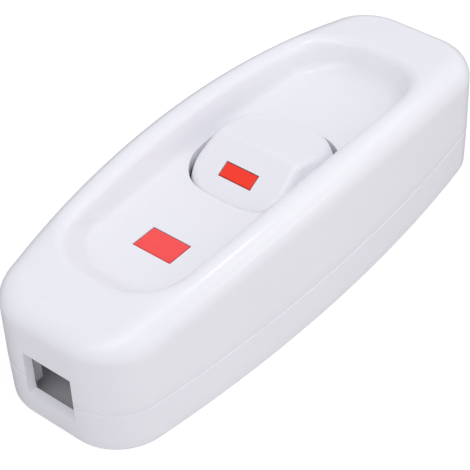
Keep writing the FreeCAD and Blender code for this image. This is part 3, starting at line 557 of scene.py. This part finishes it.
white_urea = moulded_urea("white_urea", "#F0F0F4", "#ECECF1", 0.24)
upper_shell.data.materials.append(white_urea)
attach(upper_shell, "housing")
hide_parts("upper_housing")


# Lower shell
# The shallow half, moulded in the same white plastic and drawn in a little towards its base.
# A tongue round its rim locates the two, a fine bevel marks the seam, and bosses, saddles
# and ribs for the cord clamps and the terminals stand on its floor.

LOWER_DRAFT, SEAM_BEVEL, BOTTOM_EDGE, BOTTOM_RINGS = math.tan(math.radians(1.5)), 0.2, 0.5, 7
TONGUE_FACE, TONGUE_BACK, TONGUE_TOP, TONGUE_ROOT = 2.12, 3.47, 8.4, 4.2
LOWER_BOSS_RADIUS, LOWER_BOSS_FOOT, SCREW_HOLE, HEAD_RADIUS, HEAD_SEAT = 4.0, 0.3, 1.6, 2.8, 2.6
HEAD_WELL = 2.3
CLAMP_X, CLAMP_SCREW_Y = 31.0, 6.9
CLAMP_BOSS_RADIUS, CLAMP_BOSS_TOP, CLAMP_PILOT_FOOT = 2.5, 8.5, 1.4
CORD_RADIUS, CORD_HEIGHT = 4.5, 8.1
SADDLE_TOP, SADDLE_HALF, SADDLE_SHIFT, SADDLE_POINTS = 5.1, 0.6, 1.5, 41
RIB_WIDTH, RIB_TOP, END_RIB_TOP = 1.0, 5.0, 3.1
TERMINAL_X, TERMINAL_RIB_Y, TERMINAL_RIB_LENGTH = (-14.0, 17.8), 3.8, 5.0
NEUTRAL_Y, NEUTRAL_SIDE, NEUTRAL_END, NEUTRAL_LENGTH, NEUTRAL_WIDTH = 9.9, 3.1, 9.1, 15.0, 5.0
STAND_BACK, STAND_WIDTH, STAND_TOP = 6.93, 2.6, 4.33


def lower_shell_rings():
    """Up the outside from the flat base, over bevel and tongue, and down inside to the floor."""
    def level(z, inset):
        """The body's outline at height z, inset from the outside."""
        return at_height(barrel(*BODY_PLAN, inset)[0], z)
    rings = []
    for a in np.radians(np.linspace(0, 90, BOTTOM_RINGS)):
        z = BOTTOM_EDGE * (1 - math.cos(a))
        draft = (SEAM_HEIGHT - z) * LOWER_DRAFT
        rings.append(level(z, draft + BOTTOM_EDGE * (1 - math.sin(a))))
    shoulder = level(SEAM_HEIGHT - SEAM_BEVEL, SEAM_BEVEL * LOWER_DRAFT)
    rings += ruled(rings[-1], shoulder, WALL_STEPS) + [shoulder, level(SEAM_HEIGHT, SEAM_BEVEL)]
    inner = SEAM_BEVEL + WALL
    for z, inset in ((SEAM_HEIGHT, TONGUE_FACE), (TONGUE_TOP, TONGUE_FACE),
                     (TONGUE_TOP, TONGUE_BACK), (TONGUE_ROOT, TONGUE_BACK),
                     (TONGUE_ROOT, inner), (WALL, inner)):
        rings.append(level(z, inset))
    return rings


def lower_boss(x, y):
    """Boss that a housing screw passes through, with the well for its head."""
    profile = [(HEAD_RADIUS, LOWER_BOSS_FOOT), (LOWER_BOSS_RADIUS, LOWER_BOSS_FOOT),
               (LOWER_BOSS_RADIUS, SEAM_HEIGHT), (SCREW_HOLE, SEAM_HEIGHT),
               (SCREW_HOLE, HEAD_SEAT), (HEAD_RADIUS, HEAD_SEAT)]
    return revolved(profile, (x, y, 0))


def clamp_boss(x, y):
    """Boss that a clamp screw bites into, with its blind pilot hole."""
    profile = [(0.0, WALL / 2), (CLAMP_BOSS_RADIUS, WALL / 2), (CLAMP_BOSS_RADIUS, CLAMP_BOSS_TOP),
               (PILOT_RADIUS, CLAMP_BOSS_TOP), (PILOT_RADIUS, CLAMP_PILOT_FOOT),
               (0.0, CLAMP_PILOT_FOOT)]
    return revolved(profile, (x, y, 0))


def rib(x, y, length, width, top):
    """Upright rib rooted in the floor, about (x, y)."""
    return box_between((x - length / 2, y - width / 2, WALL / 2),
                       (x + length / 2, y + width / 2, top))


def saddle(x):
    """Rib under the cord: a flat-bottomed plate whose top edge follows the cord's circle."""
    y = np.linspace(-CLAMP_SCREW_Y, CLAMP_SCREW_Y, SADDLE_POINTS)
    dip = CORD_HEIGHT - np.sqrt(np.clip(CORD_RADIUS ** 2 - y ** 2, 0, None))
    top = np.where(np.abs(y) < CORD_RADIUS, np.minimum(dip, SADDLE_TOP), SADDLE_TOP)
    outline = np.stack([np.column_stack([y, np.full_like(y, WALL / 2)]),
                        np.column_stack([y, top])], axis=1)
    faces = [np.insert(outline, 0, x + side * SADDLE_HALF, axis=2) for side in (-1, 1)]
    loop = np.concatenate([faces[0], faces[1][:, ::-1]], axis=1)
    body = quads(len(y), 4, True)
    end = 4 * len(y)
    caps = np.array([[0, 1, 2, 3], [end - 1, end - 2, end - 3, end - 4]])
    return loop.reshape(-1, 3), np.concatenate([body, caps])


def lower_fittings():
    """Bosses and saddles for each clamp, ribs beside the terminal blocks, the contact's stand."""
    made = [lower_boss(x, y) for x, y in HOUSING_SCREWS]
    for side in (-1, 1):
        made += [clamp_boss(side * CLAMP_X, row * CLAMP_SCREW_Y) for row in (-1, 1)]
        made += [saddle(side * (CLAMP_X + shift)) for shift in (-SADDLE_SHIFT, SADDLE_SHIFT)]
        made += [rib(x, side * TERMINAL_RIB_Y, TERMINAL_RIB_LENGTH, RIB_WIDTH, RIB_TOP)
                 for x in TERMINAL_X]
        made.append(rib(0.0, NEUTRAL_Y + side * NEUTRAL_SIDE, NEUTRAL_LENGTH, RIB_WIDTH, RIB_TOP))
        made.append(rib(side * NEUTRAL_END, NEUTRAL_Y, RIB_WIDTH, NEUTRAL_WIDTH, END_RIB_TOP))
    made.append(rib(ROCKER_X - STAND_BACK, 0.0, RIB_WIDTH, STAND_WIDTH, STAND_TOP))
    return made


screw_wells = [revolved([(0, -OVERCUT), (HEAD_RADIUS, -OVERCUT), (HEAD_RADIUS, HEAD_WELL),
                         (0, HEAD_WELL)], (x, y, 0)) for x, y in HOUSING_SCREWS]
lower_shell = carved("lower_shell", [closed_skin(lower_shell_rings())],
                     screw_wells + mouth_cutters(-1) + mouth_cutters(1), lower_fittings())
lower_shell.data.materials.append(white_urea)
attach(lower_shell, "housing")
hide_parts("lower_housing")


# Rocker
# A roof-shaped button moulded in the same white plastic and polished a little less. Both
# slopes meet in a soft ridge across the cord, and it rocks on two stubs in the upper
# shell's ears. A post inside holds the spring and plunger.

ROCKER_PLAN = (19.7, 18.8, 16.8, 1.0, 6.4)
ROCKER_HEAD_PLAN = (19.02, 15.2, 13.2, 1.0, 6.3)
ROCKER_SKIRT, ROCKER_SHOULDER, ROCKER_RIDGE = -2.2, 3.3, 8.0
ROCKER_SLOPE, RIDGE_RADIUS, FACE_EDGE, ROCKER_WALL = math.radians(20.1), 1.7, 1.5, 1.5
POST_BORE, POST_RADIUS, POST_TOP, POST_PEAK, POST_BORE_TOP = 2.05, 3.3, 6.1, 7.2, 5.2
STUB_ROOT, STUB_TIP = 7.8, 11.3
WEB_ROOT, WEB_TIP, WEB_HALF, WEB_FOOT, WEB_TOP = 2.6, 7.9, 0.75, -0.7, 6.0
ROCKER_STEPS, RIM_STEPS, FLANK_STEPS, ROOF_ROUNDS = (46, 20, 14), 12, 3, 20
rocker_place = (Matrix.Translation((ROCKER_X, 0.0, PIVOT_HEIGHT))
                @ Matrix.Rotation(math.radians(-ROCKER_TILT), 4, "Y"))


def roof_height(x, drop=0.0):
    """Two slopes that meet in a ridge across the cord, rounded there by an arc."""
    eave = ROCKER_RIDGE - drop - np.abs(x) * math.tan(ROCKER_SLOPE)
    arc = ROCKER_RIDGE - drop - RIDGE_RADIUS / math.cos(ROCKER_SLOPE) + np.sqrt(
        np.clip(RIDGE_RADIUS ** 2 - x ** 2, 0, None))
    return np.where(np.abs(x) < RIDGE_RADIUS * math.sin(ROCKER_SLOPE), arc, eave)


def roof_normal(x):
    """Upward normal of the roof: x over the ridge's radius, held at the slopes' sine."""
    turn = np.clip(x / RIDGE_RADIUS, -math.sin(ROCKER_SLOPE), math.sin(ROCKER_SLOPE))
    return np.column_stack([turn, np.zeros_like(x), np.sqrt(1 - turn ** 2)])


def rocker_wall(inset):
    """Foot and head rings of the drawn-in wall, and the outward normals of its plan."""
    plan = barrel(*ROCKER_PLAN, inset=inset, counts=ROCKER_STEPS)[0]
    head, outward = barrel(*ROCKER_HEAD_PLAN, inset=inset, counts=ROCKER_STEPS)
    return at_height(plan, ROCKER_SHOULDER), at_height(head, ROCKER_RIDGE), outward


def roof_corner(shoulder, head, drop):
    """Where the drawn-in wall's straight lines meet the roof, found by a few even steps."""
    share = np.full(len(shoulder), START_SHARE)
    for _ in range(ROOF_ROUNDS):
        x = shoulder[:, 0] + share * (head - shoulder)[:, 0]
        share = (roof_height(x, drop) - shoulder[:, 2]) / (head - shoulder)[:, 2]
    return shoulder + share[:, None] * (head - shoulder)


def rocker_rings():
    """Roof, rounded rim, drawn-in wall, skirt, and back up inside the 1.5 mm wall.

    The rim is the path of a ball of FACE_EDGE that touches the roof and the wall from inside.
    """
    shoulder, head, outward = rocker_wall(0.0)
    corner = roof_corner(shoulder, head, 0.0)
    along = np.roll(corner, -1, axis=0) - np.roll(corner, 1, axis=0)
    level = at_height(along[:, :2], 0.0)
    wall = np.cross(head - shoulder, level)
    wall /= np.linalg.norm(wall, axis=1)[:, None]
    wall *= np.sign((wall[:, :2] * outward).sum(axis=1))[:, None]
    roof = roof_normal(corner[:, 0])
    rim = rolled(corner - FACE_EDGE * shared_offset(roof, wall), FACE_EDGE, roof, wall, RIM_STEPS)
    rim[0][:, 2] = roof_height(rim[0][:, 0])
    outer = barrel(*ROCKER_PLAN, counts=ROCKER_STEPS)[0]
    inner = barrel(*ROCKER_PLAN, inset=ROCKER_WALL, counts=ROCKER_STEPS)[0]
    skirt, hollow = at_height(outer, ROCKER_SKIRT), at_height(inner, ROCKER_SKIRT)
    inner_shoulder, inner_head, _ = rocker_wall(ROCKER_WALL)
    ceiling = roof_corner(inner_shoulder, inner_head, ROCKER_WALL)
    rings = rim + ruled(rim[-1], shoulder, FLANK_STEPS) + [shoulder]
    rings += ruled(shoulder, skirt, FLANK_STEPS)
    return rings + [skirt, hollow, inner_shoulder, ceiling]


def rocker_fittings():
    """Post with its bore, two webs and the two stubs."""
    made = [revolved([(POST_BORE, ROCKER_SKIRT), (POST_RADIUS, ROCKER_SKIRT),
                      (POST_RADIUS, POST_TOP), (0.0, POST_PEAK), (0.0, POST_BORE_TOP),
                      (POST_BORE, POST_BORE_TOP)], (0, 0, 0))]
    for side in (-1, 1):
        low, high = sorted([side * STUB_ROOT, side * STUB_TIP])
        made.append(revolved([(0, 0), (STUB_RADIUS, 0), (STUB_RADIUS, high - low), (0, high - low)],
                             (0, low, 0), (0, 1, 0)))
        low, high = sorted([side * WEB_ROOT, side * WEB_TIP])
        made.append(box_between((-WEB_HALF, low, WEB_FOOT), (WEB_HALF, high, WEB_TOP)))
    return made


ROCKER_MARK_START, ROCKER_MARK_LENGTH, ROCKER_MARK_WIDTH = 3.95, 2.6, 6.1
mark_place = (rocker_place @ Matrix.Translation((0, 0, ROCKER_RIDGE))
              @ Matrix.Rotation(-ROCKER_SLOPE, 4, "Y"))


def on_slope(shell):
    """A shell given along the near slope, brought into the rocker's own frame."""
    turn = rocker_place.inverted() @ mark_place
    points, faces = shell
    return points @ np.array(turn.to_3x3()).T + np.array(turn.translation), faces


rocker_mark_pocket = on_slope(box_between(
    (-ROCKER_MARK_START - ROCKER_MARK_LENGTH, -ROCKER_MARK_WIDTH / 2, -MARK_DEPTH),
    (-ROCKER_MARK_START, ROCKER_MARK_WIDTH / 2, OVERCUT)))
rocker = carved("rocker_button", [closed_skin(rocker_rings())], [rocker_mark_pocket],
                rocker_fittings(), rocker_place)
rocker_urea = moulded_urea("rocker_urea", "#F0F0F4", "#ECECF1", 0.3)
rocker.data.materials.append(rocker_urea)
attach(rocker, "rocker")
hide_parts("rocker")


# Red marks
# Two small tablets in red enamel, one let into the floor of the dish and one into the near
# slope of the rocker. The enamel stands flush, and its rolled edge is painted a darker red in a
# fine line, painted shade for the groove where it meets the white.

MARK_GAP, MARK_DOME, TABLET_STEPS = 0.05, 0.2, 31
TABLET_EDGE = np.array([0.0, 0.05, 0.1, 0.16, 0.24])


def tablet(length, width):
    """Rectangular tablet about the origin, its top at 0 with edges rolled over by MARK_DOME.

    Height at (u, v) is dome * (1 - (1 - e)^2) - dome, e being the distance in from the
    nearest edge over the dome, capped at 1. The share of painted groove shade is 1 - e.
    """
    half = np.array([length, width]) / 2 - MARK_GAP

    def ruler(reach):
        """Places from -reach to reach, close together over the rolled edges, even between."""
        middle = np.linspace(TABLET_EDGE[-1] - reach, reach - TABLET_EDGE[-1], TABLET_STEPS)[1:-1]
        return np.concatenate([TABLET_EDGE - reach, middle, reach - TABLET_EDGE[::-1]])

    u, v = np.meshgrid(ruler(half[0]), ruler(half[1]), indexing="ij")
    inward = np.minimum(half[0] - np.abs(u), half[1] - np.abs(v))
    edge = np.clip(inward / MARK_DOME, 0, 1)
    top = np.stack([u, v, MARK_DOME * (1 - (1 - edge) ** 2) - MARK_DOME], axis=-1)
    base = np.stack([u, v, np.full_like(u, -MARK_DEPTH)], axis=-1)
    size = len(u)
    sheet = quads(size, size, False)
    ring = np.concatenate([
        np.arange(size), size * np.arange(1, size) + size - 1,
        size * (size - 1) + np.arange(size - 2, -1, -1), size * np.arange(size - 2, 0, -1)])
    after = np.roll(ring, -1)
    skirt = np.stack([ring, after, after + size * size, ring + size * size], axis=1)
    points = np.concatenate([top.reshape(-1, 3), base.reshape(-1, 3)])
    # Share of painted shade: full at the rolled edge's rim, fading to none where the top is flat.
    painted_groove_shade = np.concatenate([1 - edge.ravel(), np.ones(size * size)])
    return points, np.concatenate([sheet, sheet[:, ::-1] + size * size, skirt]), painted_groove_shade


def moved(shell, x, z):
    """The shell shifted along the cord and upwards."""
    return shell[0] + np.array([x, 0, z]), shell[1]


def red_enamel(name, colour, shade, groove_shade_colour):
    """Stoving enamel filled into a pocket: an even red with faint 1 mm clouds, slightly glossy.

    Its rolled edge is painted a darker red, in a line about 0.2 mm wide: painted shade for the
    groove where the enamel meets the white.
    """
    material, tree = new_material(name)
    place = add(tree, "ShaderNodeTexCoord").outputs["Object"]
    cloud = add(tree, "ShaderNodeTexNoise",
                sockets={"Vector": place, "Scale": 900.0, "Detail": 3.0})
    body = add(tree, "ShaderNodeMix", {"data_type": "RGBA"},
               {"Factor": cloud.outputs["Fac"], "A": linear(colour), "B": linear(shade)})
    # Painted shade: the tablet's rolled edge is mixed towards the darker groove colour.
    groove_shade_share = add(tree, "ShaderNodeAttribute", {"attribute_name": "painted_groove_shade"})
    tint = add(tree, "ShaderNodeMix", {"data_type": "RGBA"},
               {"Factor": groove_shade_share.outputs["Fac"], "A": body.outputs["Result"],
                "B": linear(groove_shade_colour)})
    ripple = add(tree, "ShaderNodeBump", sockets={
        "Strength": 0.2, "Distance": 0.00003, "Height": cloud.outputs["Fac"]})
    enamel = add(tree, "ShaderNodeBsdfPrincipled", sockets={
        "Base Color": tint.outputs["Result"], "Roughness": 0.35, "IOR": 1.5,
        "Normal": ripple.outputs["Normal"]})
    add(tree, "ShaderNodeOutputMaterial", sockets={"Surface": enamel.outputs["BSDF"]})
    return material


# The last colour of each is the painted groove shade along the tablet's edge.
dish_enamel = red_enamel("dish_enamel", "#FF4E4C", "#F84442", "#A01216")
rocker_enamel = red_enamel("rocker_enamel", "#FF3312", "#F82C0C", "#A01210")
dish_tablet = tablet(DISH_MARK_LENGTH, DISH_MARK_WIDTH)
slope_tablet = tablet(ROCKER_MARK_LENGTH, ROCKER_MARK_WIDTH)
dish_mark = carved("dish_tablet", [moved(dish_tablet, DISH_MARK_X, DISH_DEPTH_AT)], [])
rocker_mark = carved(
    "rocker_tablet",
    [on_slope(moved(slope_tablet, -ROCKER_MARK_START - ROCKER_MARK_LENGTH / 2, 0))], [],
    place=rocker_place)
for piece, shape, enamel, body, node in (
        (dish_mark, dish_tablet, dish_enamel, "housing", "dish_mark"),
        (rocker_mark, slope_tablet, rocker_enamel, "rocker", "rocker_mark")):
    # Each point's share of the painted groove shade, read by the enamel.
    depth = piece.data.attributes.new("painted_groove_shade", "FLOAT", "POINT")
    depth.data.foreach_set("value", shape[2])
    piece.data.materials.append(enamel)
    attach(piece, body)
    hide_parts(node)


# Plunger and cord clamps
# The plunger is turned from natural nylon and slides in the rocker's post. The clamp bars
# are moulded in the same kind of plastic, dyed pale grey, and are screwed down on the cord.

def dress(names, material):
    """Gives the frame's own nodes of those names a material."""
    for name in names:
        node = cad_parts[name]
        if node.material_slots:
            node.material_slots[0].material = material
        else:
            node.data.materials.append(material)


def matt_nylon(name, pale, deep):
    """Polyamide with a matt, waxy skin and fine flow marks about 2 mm apart."""
    material, tree = new_material(name)
    place = add(tree, "ShaderNodeTexCoord").outputs["Object"]
    flow = add(tree, "ShaderNodeTexNoise",
               sockets={"Vector": place, "Scale": 500.0, "Detail": 4.0})
    tint = add(tree, "ShaderNodeMix", {"data_type": "RGBA"},
               {"Factor": flow.outputs["Fac"], "A": linear(pale), "B": linear(deep)})
    grain = add(tree, "ShaderNodeBump", sockets={
        "Strength": 0.3, "Distance": 0.00003, "Height": flow.outputs["Fac"]})
    nylon = add(tree, "ShaderNodeBsdfPrincipled", sockets={
        "Base Color": tint.outputs["Result"], "Roughness": 0.55, "IOR": 1.53,
        "Normal": grain.outputs["Normal"]})
    add(tree, "ShaderNodeOutputMaterial", sockets={"Surface": nylon.outputs["BSDF"]})
    return material


dress(["plunger"], matt_nylon("natural_nylon", "#EFE9D8", "#DFD6BF"))
dress(["near_cord_clamp", "far_cord_clamp"], matt_nylon("grey_nylon", "#DCDCE0", "#CFCFD4"))


# Brass parts
# The see-saw, its fulcrum strip and the fixed strip are pressed from sheet brass; the
# terminal blocks are sawn from drawn brass bar, drilled and tapped.

ALONG_THE_CORD = (0.05, 1.0, 1.0)


def brass(name, pale, deep, along, roughness):
    """Bare brass: warm yellow metal with fine drawing lines 0.1 mm apart along one direction.

    A patina in patches about 3 mm across lies over them.
    """
    material, tree = new_material(name)
    place = add(tree, "ShaderNodeTexCoord").outputs["Object"]
    stretch = add(tree, "ShaderNodeMapping", sockets={"Vector": place, "Scale": along})
    lines = add(tree, "ShaderNodeTexNoise", sockets={
        "Vector": stretch.outputs["Vector"], "Scale": 9000.0, "Detail": 2.0})
    patina = add(tree, "ShaderNodeTexNoise",
                 sockets={"Vector": place, "Scale": 350.0, "Detail": 3.0})
    tint = add(tree, "ShaderNodeMix", {"data_type": "RGBA"},
               {"Factor": patina.outputs["Fac"], "A": linear(pale), "B": linear(deep)})
    wear = add(tree, "ShaderNodeMapRange", sockets={
        "Value": lines.outputs["Fac"], "To Min": roughness - 0.08, "To Max": roughness + 0.1})
    score = add(tree, "ShaderNodeBump", sockets={
        "Strength": 0.25, "Distance": 0.00001, "Height": lines.outputs["Fac"]})
    metal = add(tree, "ShaderNodeBsdfPrincipled", sockets={
        "Base Color": tint.outputs["Result"], "Metallic": 1.0,
        "Roughness": wear.outputs["Result"], "Normal": score.outputs["Normal"]})
    add(tree, "ShaderNodeOutputMaterial", sockets={"Surface": metal.outputs["BSDF"]})
    return material


dress(["contact_bridge", "fulcrum_strip", "fixed_contact_strip"],
      brass("sheet_brass", "#E0BF6E", "#CFAA58", ALONG_THE_CORD, 0.3))
dress(["near_terminal_block", "far_terminal_block", "neutral_block"],
      brass("bar_brass", "#D9B564", "#C49E4E", ALONG_THE_CORD, 0.36))


# Contacts, spring and screws
# The contact rivets are fine silver, headed cold. The spring is drawn steel wire, and the
# screws are zinc-plated steel.

def plain_metal(name, pale, deep, size, roughness):
    """Bright metal with a soft mottle of the given size in millimetres."""
    material, tree = new_material(name)
    place = add(tree, "ShaderNodeTexCoord").outputs["Object"]
    mottle = add(tree, "ShaderNodeTexNoise",
                 sockets={"Vector": place, "Scale": 1000.0 / size, "Detail": 4.0})
    tint = add(tree, "ShaderNodeMix", {"data_type": "RGBA"},
               {"Factor": mottle.outputs["Fac"], "A": linear(pale), "B": linear(deep)})
    wear = add(tree, "ShaderNodeMapRange", sockets={
        "Value": mottle.outputs["Fac"], "To Min": roughness - 0.08, "To Max": roughness + 0.1})
    pits = add(tree, "ShaderNodeBump", sockets={
        "Strength": 0.15, "Distance": 0.00001, "Height": mottle.outputs["Fac"]})
    metal = add(tree, "ShaderNodeBsdfPrincipled", sockets={
        "Base Color": tint.outputs["Result"], "Metallic": 1.0,
        "Roughness": wear.outputs["Result"], "Normal": pits.outputs["Normal"]})
    add(tree, "ShaderNodeOutputMaterial", sockets={"Surface": metal.outputs["BSDF"]})
    return material


dress(["moving_contact", "fixed_contact"],
      plain_metal("contact_silver", "#EDEBE6", "#DAD7D0", 0.6, 0.25))
dress(["plunger_spring"], plain_metal("spring_wire", "#B9BABD", "#9C9DA1", 0.3, 0.3))
dress(["terminal_screws", "clamp_screws", "housing_screws"],
      plain_metal("zinc_plate", "#CDD0D6", "#B4B7BE", 0.8, 0.32))


# Table, light and camera
# A pale table in a bright, even tent with five lamps: a broad key above the near end, a small
# window and a wide one on the right for the lines along the rim, a low strip there for the
# side, and one above the left. The camera is off the near end, above and to the right.

TABLE_REACH, TABLE_DEPTH = 2000.0, 20.0


def table_surface():
    """White table that the camera sees as paper white, with the part's own faint shadow.

    A gloss reflects it darker than the part's sides are lit by it.
    """
    material, tree = new_material("white_table")
    path = add(tree, "ShaderNodeLightPath")
    cloth = add(tree, "ShaderNodeBsdfDiffuse", sockets={"Color": linear("#EAE9E8")})
    lit = add(tree, "ShaderNodeBsdfDiffuse", sockets={"Color": linear("#8A8A8C")})
    glow = add(tree, "ShaderNodeEmission", sockets={"Color": (1, 1, 1, 1), "Strength": 0.8})
    paper = add(tree, "ShaderNodeAddShader",
                sockets={0: lit.outputs["BSDF"], 1: glow.outputs["Emission"]})
    around = add(tree, "ShaderNodeMixShader", sockets={
        0: path.outputs["Is Glossy Ray"], 1: cloth.outputs["BSDF"], 2: lit.outputs["BSDF"]})
    both = add(tree, "ShaderNodeMixShader", sockets={
        0: path.outputs["Is Camera Ray"], 1: around.outputs["Shader"],
        2: paper.outputs["Shader"]})
    add(tree, "ShaderNodeOutputMaterial", sockets={"Surface": both.outputs["Shader"]})
    return material


def square(z):
    """Corners of the table's square at height z."""
    return [(-TABLE_REACH, -TABLE_REACH, z), (TABLE_REACH, -TABLE_REACH, z),
            (TABLE_REACH, TABLE_REACH, z), (-TABLE_REACH, TABLE_REACH, z)]


table = linked("table", mesh_from("table", [slab(square(-TABLE_DEPTH), square(0.0))]))
table.data.materials.append(table_surface())

world = bpy.data.worlds.new("tent")
bpy.context.scene.world = world
world.use_nodes = True
sky = world.node_tree
sky.nodes.clear()
path = add(sky, "ShaderNodeLightPath")
seen = add(sky, "ShaderNodeMath", {"operation": "MAXIMUM"},
           {0: path.outputs["Is Camera Ray"], 1: path.outputs["Is Transmission Ray"]})
soft = add(sky, "ShaderNodeBackground", sockets={"Color": linear("#F4F4FA"), "Strength": 0.76})
white = add(sky, "ShaderNodeBackground", sockets={"Color": (1, 1, 1, 1), "Strength": 1.0})
mixed = add(sky, "ShaderNodeMixShader", sockets={
    0: seen.outputs["Value"], 1: soft.outputs["Background"], 2: white.outputs["Background"]})
add(sky, "ShaderNodeOutputWorld", sockets={"Surface": mixed.outputs["Shader"]})

LAMP_DISTANCE, LAMP_TARGET = 1.0, Vector((0.0, 0.0, 0.012))


def soft_light(name, toward, size, power, colour):
    """Rectangular lamp LAMP_DISTANCE away in a direction, facing the middle of the switch."""
    lamp = bpy.data.lights.new(name, "AREA")
    lamp.shape = "RECTANGLE"
    lamp.size, lamp.size_y = size
    lamp.energy = power
    lamp.color = colour
    holder = linked(name, lamp)
    direction = Vector(toward).normalized()
    holder.location = LAMP_TARGET + direction * LAMP_DISTANCE
    holder.rotation_euler = direction.to_track_quat("Z", "Y").to_euler()


soft_light("key", (-0.2, -0.35, 0.91), (0.5, 0.5), 1.27, (1.0, 1.0, 1.0))
soft_light("small_window", (0.3, -0.45, 0.84), (0.14, 0.14), 0.78, (1.0, 1.0, 1.0))
soft_light("right_window", (0.62, -0.62, 0.52), (0.9, 0.35), 0.95, (1.0, 0.97, 0.92))
soft_light("low_strip", (0.437, -0.897, 0.09), (0.5, 0.03), 0.35, (1.0, 0.98, 0.95))
soft_light("near_window", (-0.62, -0.15, 0.77), (0.6, 0.5), 1.0, (1.0, 0.98, 0.96))

# Angles are in radians and lengths in metres. The lens is given by its focal length in pixels
# of a picture FRAME_PIXELS wide.
CAMERA_AZIMUTH, CAMERA_HEIGHT, CAMERA_ROLL = -0.8449015, 0.7164817, -0.0523153
CAMERA_DISTANCE, CAMERA_TARGET = 0.267779, Vector((-0.00137907, 0.00234476, 0.00476539))
FOCAL_PIXELS, FRAME_PIXELS, SENSOR = 1756.447, 470, 36.0

lens = bpy.data.cameras.new("camera")
lens.sensor_width = SENSOR
lens.lens = FOCAL_PIXELS / FRAME_PIXELS * SENSOR
lens.clip_start, lens.clip_end = 0.01, 10.0
camera = linked("camera", lens)
back = Vector((math.sin(CAMERA_AZIMUTH) * math.cos(CAMERA_HEIGHT),
               -math.cos(CAMERA_AZIMUTH) * math.cos(CAMERA_HEIGHT), math.sin(CAMERA_HEIGHT)))
camera.location = CAMERA_TARGET + back * CAMERA_DISTANCE
camera.rotation_mode = "QUATERNION"
camera.rotation_quaternion = (-back).to_track_quat("-Z", "Y") @ Quaternion((0, 0, 1), CAMERA_ROLL)
bpy.context.scene.camera = camera
bpy.context.scene.view_settings.view_transform = "Standard"
